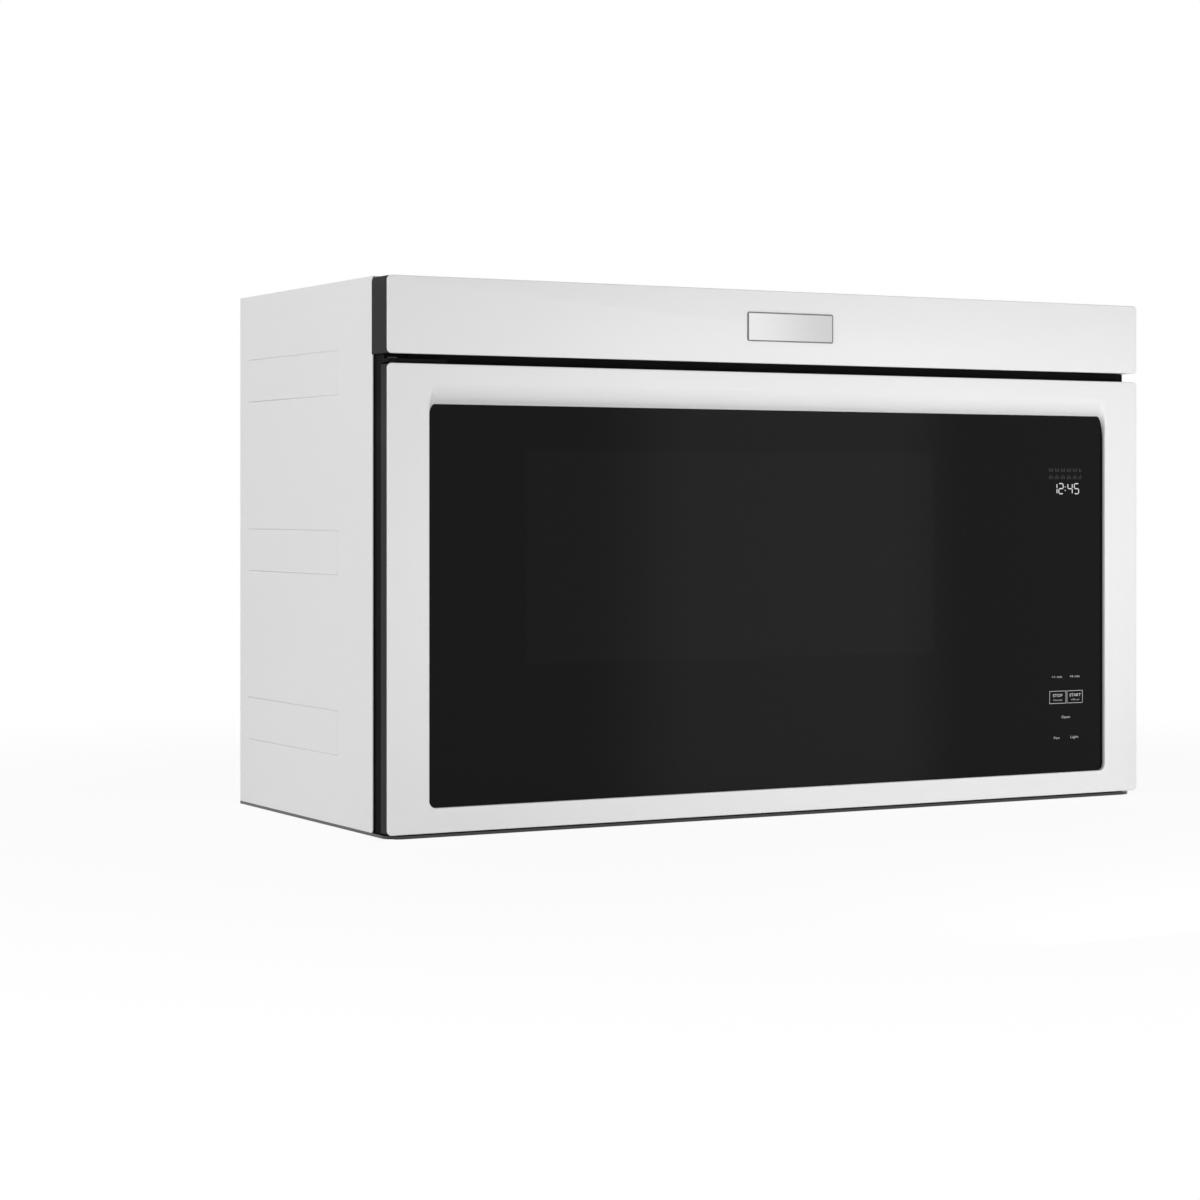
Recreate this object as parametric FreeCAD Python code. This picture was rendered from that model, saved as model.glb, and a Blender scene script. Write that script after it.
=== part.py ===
"""Flush-fronted over the range microwave, 30 inches wide, as separate solid pieces.

Frame: X to the right, Y to the rear, Z up, origin under the middle of the case, millimetres.
"Depth" below is measured from the front face of the door towards the wall.
"""
import FreeCAD
import Part
import math
import os

Vec = FreeCAD.Vector
os.makedirs("parts", exist_ok=True)

# ---------------------------------------------------------------- driving dimensions
WIDTH = 762.0            # over the door and over the side pads
HEIGHT = 454.0           # base to top cover
DEPTH = 323.9            # face of the bare plate to wall

SHEET = 1.0              # case and oven sheet
FACE_SHEET = 1.2         # face plate
MOULDING = 2.4           # wall of the plastic mouldings
SEAT_GAP = 0.3           # between pieces that sit against each other
FIT = 0.05               # radial running clearance of pins and shafts

# case
PAD_RISE = 1.6           # ramp pads on the case sides
PAD_HEIGHT = 38.0
PAD_PITCH = 150.0
PAD_LOWEST = 78.5        # middle of the lowest pad
PAD_START = 103.0        # depth where the ramp begins
PAD_END = 302.0          # depth of its step
CASE_START = 33.5        # depth where the white case begins
CASE_CORNER = 3.0        # lower front corner of the side panels
FLANGE = 12.0            # folded flanges inside the case
BASE_LIP = 2.5           # black edge of the base pan
BASE_HEM = 9.0           # folded hem under the base pan's edge
BASE_SETBACK = 2.0       # base pan behind the door face
BASE_CORNER = 15.0

# top vent panel and the slot under it
VENT_PANEL_HEIGHT = 62.8
VENT_PANEL_DROP = 1.2    # below the top of the case
VENT_SLOT = 7.7          # air gap over the door
CARRIER_ROUND = 3.5

# door
DOOR_LIFT = 1.1          # door above the base pan
DOOR_DEPTH = 15.2
SKIN = 1.2               # painted front sheet of door and vent panel
SKIN_LIP = 2.2           # how far its edge turns back
SKIN_ROUND = 1.1         # its eased edge
CORNER = 2.5             # corners of the front sheets
GLASS_SIDE = 37.0        # frame beside the visible glass
GLASS_BOTTOM = 20.2
GLASS_TOP = 32.3
GLASS_RECESS = 4.5
GLASS_THICK = 3.2
GLASS_OVERLAP = 6.0      # glass hidden behind the frame
GLASS_CORNER = 3.5
SCOOP_HEIGHT = 16.0      # sloped strip over the glass
WINDOW_SIDE = 34.0       # window inside the oven's opening
WINDOW_UNDER = 29.0
WINDOW_OVER = 24.0
WINDOW_LAND = 6.0        # room round the window in the door body
BODY_INSET = 0.8         # door body inside the front sheet
PLATE_INSET = 9.0        # choke plate inside the door's edge
DISPLAY_WIDTH = 44.0
DISPLAY_HEIGHT = 36.0
DISPLAY_SIDE = 22.0      # display from the glass's right edge
DISPLAY_TOP = 44.0       # display under the glass's top edge
KEYS_WIDTH = 60.0
KEYS_HEIGHT = 78.0
KEYS_SIDE = 16.0
KEYS_BOTTOM = 24.0

# door hinge
HINGE_INSET = 8.0        # pin from the door's left edge
HINGE_DEPTH = 8.0        # pin behind the door face
PIN_RADIUS = 3.0
BUSH_RADIUS = 5.0
BUSH_LENGTH = 14.0
LEAF_THICK = 2.5
LEAF_LENGTH = 46.0

# front frame
FRAME_GAP = 1.3          # between the closed door and the front frame
FRAME_INSET = 4.0        # front frame inside the case width
HINGE_RELIEF = 4.0       # extra room behind the hinge edge
HINGE_RELIEF_WIDTH = 17.0

# oven cavity
CAVITY_WIDTH = 476.0
DOOR_OVER_OVEN = 44.3    # door above the oven's opening
OVEN_REAR_GAP = 30.2     # oven in front of the wall
CAVITY_LEFT = 90.4       # air path between case side and cavity
CAVITY_FLOOR = 105.5     # above the base pan
CERAMIC = 4.0
WELL_DEPTH = 22.0
WELL_MARGIN = 48.0
WELL_CORNER = 30.0

# choke
CHOKE_MARGIN = 30.0      # choke wall outside the cavity opening
CHOKE_CHANNEL = 18.0
CHOKE_END = 31.5         # depth of its sealing face
CHOKE_COVER = 1.0
CHOKE_SLOT = 5.0
CHOKE_PITCH = 36.0
CHOKE_SLOT_DEPTH = 9.0
CHOKE_CLEARANCE = 5.0    # between choke and front frame

# latch
LATCH_FROM_CAVITY = 74.0
LATCH_THICK = 4.0
LATCH_ARM = 12.0
LATCH_SPACING = 172.0
LATCH_LIFT = 6.0
LATCH_REACH = 46.0       # depth of the hook's end
NOSE_LENGTH = 8.0
NOSE_DROP = 6.0
LATCH_CLEARANCE = 2.0
CATCH_SIDE = 14.0        # latch board beyond the hooks
CATCH_UNDER = 70.0       # latch board below the lower hook
CATCH_OVER = 30.0        # latch board above the upper hook
CATCH_TAB = 20.0
SWITCH_LENGTH = 20.0
SWITCH_DEPTH = 10.0
SWITCH_HEIGHT = 6.4
SWITCH_TRAVEL = 1.5
PLUNGER_RADIUS = 1.2
SPRING_RADIUS = 1.4       # to the middle of the wire
SPRING_WIRE = 0.9
SPRING_PITCH = 2.8
SPRING_TURNS = 5
SPRING_SIDES = 8         # straight pieces in a turn

# hood blower
BLOWER_WHEEL_WIDTH = 92.0
BLOWER_MOTOR_WIDTH = 74.0
BLOWER_MOTOR_STEP = 3.5  # motor's can inside the wheels' radius
BLOWER_MOUTH = 124.0     # length of the top cover's opening over the blower
HUB_RADIUS = 11.0
HUB_LENGTH = 22.0
BLOWER_SHAFT_RADIUS = 4.0
BLOWER_BLADES = 18
BLADE_LENGTH = 9.0
BLADE_THICK = 0.8
WHEEL_GAP = 6.0          # wheel to scroll at its tightest
SCROLL_GROWTH = 10.0     # extra radius the scroll gains round the wheel
BLOWER_REAR_GAP = 100.0  # scroll middle in front of the wall
HOUSING_WALL = 1.5

# cooling fan
FAN_RADIUS = 52.0
FAN_BLADES = 4
FAN_WIDTH = 16.0
FAN_GAP = 3.0
FAN_SHAFT_RADIUS = 2.5
FAN_MOTOR_SIDE = 46.0
FAN_MOTOR_DEPTH = 24.0
FAN_LIFT = 46.0          # fan above the oven's floor
FAN_REAR_GAP = 30.0      # fan's middle in front of the oven's rear
FAN_HUB_RADIUS = 12.0
SHROUD_EDGE = 14.0       # plate round the throat
SPOKE_WIDTH = 8.0
SPOKE_THICK = 3.0
SPOKE_DEPTH = 10.0       # spokes behind the fan's middle

# stirrer and microwave source
STIRRER_RADIUS = 68.0
STIRRER_HUB_RADIUS = 16.0
STIRRER_ARM = 30.0       # width of an arm
STIRRER_THICK = 2.0
STIRRER_SHAFT_RADIUS = 3.0
FEED_RADIUS = 14.0       # opening from the waveguide into the well
STIRRER_MOTOR_RADIUS = 25.0
STIRRER_MOTOR_HEIGHT = 20.0
GUIDE_HEIGHT = 34.0
GUIDE_WIDTH = 86.0
MAGNETRON_FINS = 4
MAGNETRON_WIDTH = 86.0
MAGNETRON_HEIGHT = 78.0
MAGNETRON_DEPTH = 68.0
YOKE_WALL = 1.6
CAPACITOR_BOX = 52.0     # side of the box on the yoke
CAPACITOR_BOX_HEIGHT = 32.0
ANODE_RADIUS = 19.0
MAGNET_STEP = 8.0        # ring magnets outside the anode
MAGNET_HEIGHT = 11.4
ANTENNA_RADIUS = 7.0
ANTENNA_LENGTH = 22.0

# boards and shelf beside the oven
BOARD_THICK = 1.6
BOARD_LIFT = 4.0         # boards over their posts
BOARD_MARGIN = 6.0       # boards inside the shelf's ends
SHELF_DROP = 96.0        # shelf under the oven's top
SHELF_WEB = 70.0         # height of its web on the oven
SHELF_LIP = 10.0
SHELF_FRONT = 60.0       # shelf behind the face plate
SHELF_REAR = 68.0        # shelf in front of the oven's rear
SHELF_SIDE = 12.0        # shelf inside the case side
TRANSFORMER_RADIUS = 24.0
TRANSFORMER_CORE = 16.0
HEATSINK_HEIGHT = 39.4
HEATSINK_WIDTH = 42.0
FILTER_BOARD = 60.0      # length of the mains filter board
FILTER_BOARD_HEIGHT = 44.0
FILTER_CHOKE_RADIUS = 14.0

# flat sides of hidden round housings
SIDES = 12
LARGE_SIDES = 24
WHEEL_SIDES = 36

# filters and lamps
FILTER_WIDTH = 276.0
FILTER_DEPTH = 146.0
FILTER_THICK = 8.0
FILTER_SPACING = 410.0   # between the middles of the two filters
FILTER_REAR_GAP = 30.0
CHARCOAL_WIDTH = 300.0
CHARCOAL_THICK = 12.0
CHARCOAL_PLEAT = 20.0
LAMP_SPACING = 300.0
LAMP_WIDTH = 92.0
LAMP_LENGTH = 44.0
LAMP_DEPTH = 78.0        # middle of the lamps behind the door face
LAMP_HEIGHT = 16.0       # housing over the lens
LAMP_RIM = 4.0           # lens's rim outside its opening
LENS_RIM_THICK = 1.6

# mounting
TOP_BOLT_SPACING = 600.0
TOP_BOLT_DEPTH = 150.0
TOP_BOLT_RADIUS = 3.6
NUT_BORE = 3.2
NUT_HEIGHT = 5.5
NUT_RADIUS = 6.4         # over its corners
HOOK_SLOT_LIFT = 24.0
HOOK_SLOT_WIDTH = 60.0
HOOK_SLOT_HEIGHT = 12.0
HOOK_SLOT_SPACING = 520.0
GLAND_BORE = 5.0
GLAND_RADIUS = 11.0
GLAND_LENGTH = 9.0

# bare plate on the vent panel
BADGE_WIDTH = 87.0
BADGE_HEIGHT = 25.0
BADGE_THICK = 1.0

# ---------------------------------------------------------------- derived places
FRONT = -DEPTH / 2 + BADGE_THICK         # door face
WALL = DEPTH - BADGE_THICK               # depth of the wall behind the door face
SIDE = WIDTH / 2 - PAD_RISE              # outer face of the case sides
INNER = SIDE - SHEET                     # inner face of the case sides
BASE_SHEET = BASE_LIP / 2
DOOR_BOTTOM = BASE_LIP + DOOR_LIFT
VENT_TOP = HEIGHT - VENT_PANEL_DROP
VENT_BOTTOM = VENT_TOP - VENT_PANEL_HEIGHT
DOOR_TOP = VENT_BOTTOM - VENT_SLOT
FRAME_FRONT = DOOR_DEPTH + FRAME_GAP
FACE_REAR = CASE_START + FACE_SHEET
BODY_FRONT = GLASS_RECESS + GLASS_THICK  # depth of the door body's web
PLATE_FRONT = DOOR_DEPTH - SHEET         # depth of the choke plate
HINGE_X = -WIDTH / 2 + HINGE_INSET

CAV_X0 = -INNER + CAVITY_LEFT
CAV_X1 = CAV_X0 + CAVITY_WIDTH
CAV_X = (CAV_X0 + CAV_X1) / 2
CAV_Z0 = BASE_LIP + CAVITY_FLOOR
CAV_Z1 = DOOR_TOP - DOOR_OVER_OVEN
CAV_REAR = WALL - OVEN_REAR_GAP
CAV_DEPTH_MIDDLE = (FACE_REAR + CAV_REAR) / 2
WELL_BOTTOM = CAV_Z0 - WELL_DEPTH
LATCH_X = CAV_X1 + LATCH_FROM_CAVITY


# ---------------------------------------------------------------- helpers
def block(x0, x1, depth0, depth1, z0, z1):
    """Box between two X, two depths and two Z."""
    return Part.makeBox(x1 - x0, depth1 - depth0, z1 - z0, Vec(x0, FRONT + depth0, z0))


def disc_z(radius, x, depth, z0, z1):
    return Part.makeCylinder(radius, z1 - z0, Vec(x, FRONT + depth, z0), Vec(0, 0, 1))


def disc_y(radius, x, z, depth0, depth1):
    return Part.makeCylinder(radius, depth1 - depth0, Vec(x, FRONT + depth0, z), Vec(0, 1, 0))


def disc_x(radius, depth, z, x0, x1):
    return Part.makeCylinder(radius, x1 - x0, Vec(x0, FRONT + depth, z), Vec(1, 0, 0))


def grow(rect, by):
    """A rectangle (x0, x1, z0, z1) larger by the same amount all round."""
    x0, x1, z0, z1 = rect
    return (x0 - by, x1 + by, z0 - by, z1 + by)


def panel(rect, depth0, depth1, corner=0.0):
    """Upright plate over a rectangle, with rounded corners."""
    x0, x1, z0, z1 = rect
    solid = block(x0, x1, depth0, depth1, z0, z1)
    if corner > 0:
        solid = solid.makeFillet(corner, edges_along(solid, Vec(0, 1, 0)))
    return solid


def slab(x0, x1, depth0, depth1, z0, z1, corner=0.0):
    """Level plate with rounded corners in plan."""
    solid = block(x0, x1, depth0, depth1, z0, z1)
    if corner > 0:
        solid = solid.makeFillet(corner, edges_along(solid, Vec(0, 0, 1)))
    return solid


def edges_along(solid, axis):
    """Straight edges that run along an axis."""
    found = []
    for edge in solid.Edges:
        if isinstance(edge.Curve, Part.Line):
            if abs(abs(edge.Curve.Direction.dot(axis)) - 1) < 1e-6:
                found.append(edge)
    return found


def edges_at(solid, test):
    """Edges whose every end point passes a test."""
    return [edge for edge in solid.Edges if all(test(v.Point) for v in edge.Vertexes)]


def flat(points):
    """Flat face over a closed outline."""
    return Part.Face(Part.makePolygon(points + [points[0]]))


def prism(points, direction):
    """Extrude a closed outline."""
    return flat(points).extrude(direction)


def side_prism(outline, x0, x1):
    """Extrude an outline of (depth, z) corners along X."""
    points = [Vec(x0, FRONT + depth, z) for depth, z in outline]
    return prism(points, Vec(x1 - x0, 0, 0))


def plan_prism(outline, z0, z1):
    """Extrude an outline of (x, depth) corners along Z."""
    points = [Vec(x, FRONT + depth, z0) for x, depth in outline]
    return prism(points, Vec(0, 0, z1 - z0))


def front_prism(outline, depth0, depth1):
    """Extrude an outline of (x, z) corners along the depth."""
    points = [Vec(x, FRONT + depth0, z) for x, z in outline]
    return prism(points, Vec(0, depth1 - depth0, 0))


def ring(radius, first, second, sides):
    """Corners of a regular outline round a middle."""
    corners = []
    for index in range(sides):
        turn = 2 * math.pi * (index + 0.5) / sides
        corners.append((first + radius * math.cos(turn), second + radius * math.sin(turn)))
    return corners


def sided_z(radius, x, depth, z0, z1, sides=SIDES):
    """Upright round housing with flat sides."""
    return plan_prism(ring(radius, x, depth, sides), z0, z1)


def sided_y(radius, x, z, depth0, depth1, sides=SIDES):
    return front_prism(ring(radius, x, z, sides), depth0, depth1)


def sided_x(radius, depth, z, x0, x1, sides=SIDES):
    return side_prism(ring(radius, depth, z, sides), x0, x1)


def join(shapes):
    """One solid out of several that touch."""
    if len(shapes) == 1:
        return shapes[0]
    return shapes[0].multiFuse(shapes[1:]).removeSplitter()


def cut(solid, tools):
    return solid.cut(Part.makeCompound(tools))


def steps(low, high, pitch):
    """Even places, at most a pitch apart, between two ends."""
    count = max(1, int((high - low) / pitch))
    gap = (high - low) / count
    return [low + gap * (index + 0.5) for index in range(count)]


def save(name, shapes):
    """One file for a piece, or for a group of like pieces."""
    if not isinstance(shapes, list):
        shapes = [shapes]
    solids = [solid for shape in shapes for solid in shape.Solids]
    shape = solids[0] if len(solids) == 1 else Part.makeCompound(solids)
    shape.exportStep("parts/" + name + ".step")


# ---------------------------------------------------------------- case
def side_panel(sign):
    """Pressed steel side with three ramp pads and a rear flange."""
    low = min(sign * SIDE, sign * INNER)
    sheet = block(low, low + SHEET, CASE_START, WALL, BASE_LIP, HEIGHT)
    corner = edges_at(sheet, lambda p: p.y < FRONT + CASE_START + 1 and p.z < BASE_LIP + 1)
    sheet = sheet.makeFillet(CASE_CORNER, corner)
    edge = sorted([sign * INNER, sign * (INNER - FLANGE)])
    flange = block(edge[0], edge[1], WALL - 2 * SHEET, WALL - SHEET, BASE_LIP, HEIGHT - SHEET)
    solid = join([sheet, flange])
    for index in range(3):
        middle = PAD_LOWEST + index * PAD_PITCH
        ramp = [(sign * SIDE, PAD_START), (sign * (SIDE + PAD_RISE), PAD_END), (sign * SIDE, PAD_END)]
        pad = plan_prism(ramp, middle - PAD_HEIGHT / 2, middle + PAD_HEIGHT / 2)
        hollow = pad.copy()
        hollow.translate(Vec(-sign * SHEET, 0, 0))
        solid = solid.fuse(pad).cut(hollow)
    return solid


def blower_opening():
    """Opening of the top cover over the blower, as x0, x1, depth0, depth1."""
    half = BLOWER_WHEEL_WIDTH + BLOWER_MOTOR_WIDTH / 2
    middle = WALL - BLOWER_REAR_GAP
    return (CAV_X - half, CAV_X + half, middle - BLOWER_MOUTH / 2, middle + BLOWER_MOUTH / 2)


def top_bolt_places():
    return [(side * TOP_BOLT_SPACING / 2, TOP_BOLT_DEPTH) for side in (-1, 1)]


def gland_place():
    """Where the mains lead leaves the top, at the right rear."""
    return (INNER - 45.0, WALL - 40.0)


def top_cover():
    edge = INNER - SEAT_GAP
    solid = block(-edge, edge, CASE_START, WALL - 2 * SHEET, HEIGHT - SHEET, HEIGHT)
    flanges = []
    for side in (-1, 1):
        x0, x1 = sorted([side * edge, side * (edge - SHEET)])
        flanges.append(block(x0, x1, FACE_REAR + FLANGE, WALL - 2 * SHEET - FLANGE,
                             HEIGHT - FLANGE, HEIGHT - SHEET))
    solid = join([solid] + flanges)
    x0, x1, depth0, depth1 = blower_opening()
    tools = [block(x0, x1, depth0, depth1, HEIGHT - 2 * SHEET, HEIGHT + SHEET)]
    for x, depth in top_bolt_places():
        tools.append(disc_z(TOP_BOLT_RADIUS, x, depth, HEIGHT - 2 * SHEET, HEIGHT + SHEET))
    x, depth = gland_place()
    tools.append(sided_z(GLAND_RADIUS + SEAT_GAP, x, depth, HEIGHT - 2 * SHEET, HEIGHT + SHEET, LARGE_SIDES))
    return cut(solid, tools)


def blower_plate():
    """Blank plate under the blower's opening, with its pressed middle level with the cover."""
    x0, x1, depth0, depth1 = blower_opening()
    under = HEIGHT - SHEET
    flat = block(x0 - FLANGE, x1 + FLANGE, depth0 - FLANGE, depth1 + FLANGE, under - SHEET, under)
    raised = block(x0 + SEAT_GAP, x1 - SEAT_GAP, depth0 + SEAT_GAP, depth1 - SEAT_GAP, under, HEIGHT)
    hollow = block(x0 + SHEET + SEAT_GAP, x1 - SHEET - SEAT_GAP, depth0 + SHEET + SEAT_GAP,
                   depth1 - SHEET - SEAT_GAP, under - 2 * SHEET, under)
    return join([flat, raised]).cut(hollow)


def weld_nuts():
    nuts = []
    for x, depth in top_bolt_places():
        nut = sided_z(NUT_RADIUS, x, depth, HEIGHT - SHEET - NUT_HEIGHT, HEIGHT - SHEET, 6)
        bore = disc_z(NUT_BORE, x, depth, HEIGHT - 2 * SHEET - NUT_HEIGHT, HEIGHT)
        nuts.append(nut.cut(bore))
    return nuts


def cord_gland():
    """Flanged bush that the mains lead leaves through."""
    x, depth = gland_place()
    body = sided_z(GLAND_RADIUS, x, depth, HEIGHT - GLAND_LENGTH, HEIGHT, LARGE_SIDES)
    reach = GLAND_RADIUS + 3.0
    collar = block(x - reach, x + reach, depth - reach, depth + reach, HEIGHT - SHEET - 2.0, HEIGHT - SHEET)
    return join([body, collar]).cut(disc_z(GLAND_BORE, x, depth, 0, 2 * HEIGHT))


def back_plate():
    """Rear sheet with two level beads and the slots for the wall plate's hooks."""
    edge = INNER - SEAT_GAP
    rect = (-edge, edge, BASE_LIP + SEAT_GAP, HEIGHT - SHEET - SEAT_GAP)
    solid = panel(rect, WALL - SHEET, WALL)
    for share in (0.36, 0.64):
        z = HEIGHT * share
        bead = (-edge + 60.0, edge - 60.0, z - 11.0, z + 11.0)
        pressed = panel(bead, WALL - 2.5 * SHEET, WALL - SHEET)
        hollow = panel(grow(bead, -SHEET), WALL - 1.5 * SHEET, WALL + SHEET)
        solid = solid.fuse(pressed).cut(hollow)
    tools = []
    for side in (-1, 1):
        x = side * HOOK_SLOT_SPACING / 2
        slot = (x - HOOK_SLOT_WIDTH / 2, x + HOOK_SLOT_WIDTH / 2, HOOK_SLOT_LIFT,
                HOOK_SLOT_LIFT + HOOK_SLOT_HEIGHT)
        tools.append(panel(slot, WALL - 2 * SHEET, WALL + SHEET))
    return cut(solid, tools)


def filter_places():
    """The two grease filters, as x0, x1, depth0, depth1."""
    rear = WALL - FILTER_REAR_GAP
    places = []
    for side in (-1, 1):
        x = side * FILTER_SPACING / 2
        places.append((x - FILTER_WIDTH / 2, x + FILTER_WIDTH / 2, rear - FILTER_DEPTH, rear))
    return places


def lamp_places():
    places = []
    for side in (-1, 1):
        x = side * LAMP_SPACING / 2
        places.append((x - LAMP_WIDTH / 2, x + LAMP_WIDTH / 2,
                       LAMP_DEPTH - LAMP_LENGTH / 2, LAMP_DEPTH + LAMP_LENGTH / 2))
    return places


def base_plate():
    """Black base pan with a folded hem, filter and lamp openings and a row of air slots."""
    outline = slab(-SIDE, SIDE, BASE_SETBACK, WALL, 0, BASE_LIP)
    front = edges_at(outline, lambda p: p.y < FRONT + BASE_SETBACK + 1)
    front = [edge for edge in front if abs(edge.Vertexes[0].Z - edge.Vertexes[1].Z) > 1]
    solid = outline.makeFillet(BASE_CORNER, front)
    tools = [slab(-SIDE + BASE_HEM, SIDE - BASE_HEM, BASE_SETBACK + BASE_HEM, WALL - BASE_HEM,
                  -BASE_LIP, BASE_LIP - BASE_SHEET)]
    for x0, x1, depth0, depth1 in filter_places():
        ledge = 5.0
        tools.append(slab(x0 + ledge, x1 - ledge, depth0 + ledge, depth1 - ledge, -1, 2 * BASE_LIP))
    for x0, x1, depth0, depth1 in lamp_places():
        tools.append(slab(x0, x1, depth0, depth1, -1, 2 * BASE_LIP))
    for x in steps(-LAMP_SPACING / 2 + LAMP_WIDTH, LAMP_SPACING / 2 - LAMP_WIDTH, 16.0):
        tools.append(slab(x - 2.5, x + 2.5, LAMP_DEPTH - 20.0, LAMP_DEPTH + 20.0, -1, 2 * BASE_LIP))
    tools.append(disc_z(PIN_RADIUS, HINGE_X, HINGE_DEPTH, -1, 2 * BASE_LIP))
    return cut(solid, tools)


# ---------------------------------------------------------------- filters and cooktop lamps
def grease_filter(place):
    """Aluminium frame with a cross-ribbed mesh pack and a pull tab."""
    x0, x1, depth0, depth1 = place
    z0 = BASE_LIP
    z1 = z0 + FILTER_THICK
    ring = 9.0
    frame = slab(x0, x1, depth0, depth1, z0, z1, 6.0)
    frame = frame.cut(block(x0 + ring, x1 - ring, depth0 + ring, depth1 - ring, z0 - 1, z1 + 1))
    pack = [block(x0 + ring, x1 - ring, depth0 + ring, depth1 - ring, z0 + 2.0, z1 - 2.0)]
    for x in steps(x0 + ring, x1 - ring, 50.0):
        pack.append(block(x - 1.0, x + 1.0, depth0 + ring, depth1 - ring, z0 + 1.0, z0 + 2.0))
    middle = (x0 + x1) / 2
    tab = block(middle - 14.0, middle + 14.0, depth0 + 6.0, depth0 + 24.0, z0 - 1.0, z0 + 2.0)
    return join([frame] + pack + [tab])


def cooktop_lenses():
    """Lenses that drop into the base pan from above."""
    lenses = []
    for x0, x1, depth0, depth1 in lamp_places():
        gap = SEAT_GAP
        lens = block(x0 + gap, x1 - gap, depth0 + gap, depth1 - gap, 0.6, BASE_LIP)
        rim = block(x0 - LAMP_RIM, x1 + LAMP_RIM, depth0 - LAMP_RIM, depth1 + LAMP_RIM, BASE_LIP,
                    BASE_LIP + LENS_RIM_THICK)
        lenses.append(join([lens, rim]))
    return lenses


def cooktop_housings():
    """Lamp housings over the lenses."""
    housings = []
    for x0, x1, depth0, depth1 in lamp_places():
        z0 = BASE_LIP + LENS_RIM_THICK
        shell = block(x0 - LAMP_RIM, x1 + LAMP_RIM, depth0 - LAMP_RIM, depth1 + LAMP_RIM, z0, z0 + LAMP_HEIGHT)
        hollow = block(x0, x1, depth0, depth1, z0 - 1, z0 + LAMP_HEIGHT - MOULDING)
        housings.append(shell.cut(hollow))
    return housings


def cooktop_leds():
    """LED boards under the housings' tops."""
    boards = []
    for x0, x1, depth0, depth1 in lamp_places():
        top = BASE_LIP + LENS_RIM_THICK + LAMP_HEIGHT - MOULDING
        under = top - BOARD_THICK
        edge = BOARD_MARGIN
        board = [block(x0 + edge, x1 - edge, depth0 + edge, depth1 - edge, under, top)]
        for x in steps(x0 + 8.0, x1 - 8.0, 26.0):
            board.append(block(x - 2.5, x + 2.5, LAMP_DEPTH - 2.5, LAMP_DEPTH + 2.5, under - 1.2, under))
        boards.append(join(board))
    return boards


# ---------------------------------------------------------------- face plate and front frame
def cavity_rect():
    return (CAV_X0, CAV_X1, CAV_Z0, CAV_Z1)


def choke_rect():
    """Outer face of the choke wall on the door."""
    return grow(cavity_rect(), CHOKE_MARGIN)


def latch_levels():
    """Middle heights of the lower and upper hook."""
    middle = (CAV_Z0 + CAV_Z1) / 2
    return [middle - LATCH_SPACING / 2, middle + LATCH_SPACING / 2]


def latch_slot(z):
    """Room that a hook needs in a plate that it passes through."""
    return (LATCH_X - LATCH_THICK / 2 - LATCH_CLEARANCE, LATCH_X + LATCH_THICK / 2 + LATCH_CLEARANCE,
            z - LATCH_ARM / 2 - NOSE_DROP - 1.0, z + LATCH_ARM / 2 + LATCH_LIFT + 1.0)


def vent_rect():
    """Air opening behind the vent panel."""
    half = BLOWER_WHEEL_WIDTH + BLOWER_MOTOR_WIDTH / 2
    return (CAV_X - half, CAV_X + half, VENT_BOTTOM + 6.0, VENT_TOP - 6.0)


def face_plate():
    """Painted steel front of the oven, with the door seal's land and folded edges."""
    edge = INNER - SEAT_GAP
    top = HEIGHT - SHEET
    rect = (-edge, edge, BASE_LIP, top)
    solid = panel(rect, CASE_START, FACE_REAR)
    folds = []
    for side in (-1, 1):
        x0, x1 = sorted([side * edge, side * (edge - FACE_SHEET)])
        folds.append(block(x0, x1, FACE_REAR, FACE_REAR + FLANGE - SEAT_GAP, BASE_LIP, top))
    folds.append(block(-edge, edge, FACE_REAR, FACE_REAR + FLANGE, BASE_LIP, BASE_LIP + FACE_SHEET))
    solid = join([solid] + folds)
    tools = [panel(cavity_rect(), CASE_START - 1, FACE_REAR + 1)]
    tools.append(panel(vent_rect(), CASE_START - 1, FACE_REAR + 1))
    for z in latch_levels():
        tools.append(panel(latch_slot(z), CASE_START - 1, FACE_REAR + 1))
    return cut(solid, tools)


def front_frame():
    """Black moulded frame round the choke, hollow from the rear and ribbed."""
    outer = (-SIDE + FRAME_INSET - PAD_RISE, SIDE - FRAME_INSET + PAD_RISE, BASE_LIP, VENT_BOTTOM)
    opening = grow(choke_rect(), CHOKE_CLEARANCE)
    solid = panel(outer, FRAME_FRONT, CASE_START)
    x0, x1, z0, z1 = grow(outer, -MOULDING)
    step = HINGE_X + HINGE_RELIEF_WIDTH + MOULDING
    hollow = panel((step, x1, z0, z1), FRAME_FRONT + MOULDING, CASE_START + 1)
    left_hollow = panel((x0, step, z0, z1), FRAME_FRONT + MOULDING + HINGE_RELIEF, CASE_START + 1)
    wall = panel(grow(opening, MOULDING), FRAME_FRONT, CASE_START)
    ribs = []
    for x in steps(outer[0], outer[1], 90.0):
        ribs.append(block(x - 0.8, x + 0.8, FRAME_FRONT + MOULDING, CASE_START, outer[2], outer[3]))
    for z in latch_levels():
        slot = latch_slot(z)
        ribs.append(panel(grow(slot, MOULDING), FRAME_FRONT + MOULDING, CASE_START))
    solid = join([cut(solid, [hollow, left_hollow]), wall] + ribs)
    relief = block(outer[0] - 1, HINGE_X + HINGE_RELIEF_WIDTH, FRAME_FRONT - 1, FRAME_FRONT + HINGE_RELIEF,
                   BASE_LIP - 1, DOOR_TOP + SEAT_GAP)
    tools = [relief, panel(opening, FRAME_FRONT - 1, CASE_START + 1)]
    for z in latch_levels():
        tools.append(panel(latch_slot(z), FRAME_FRONT - 1, CASE_START + 1))
    return cut(solid, tools)


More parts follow.
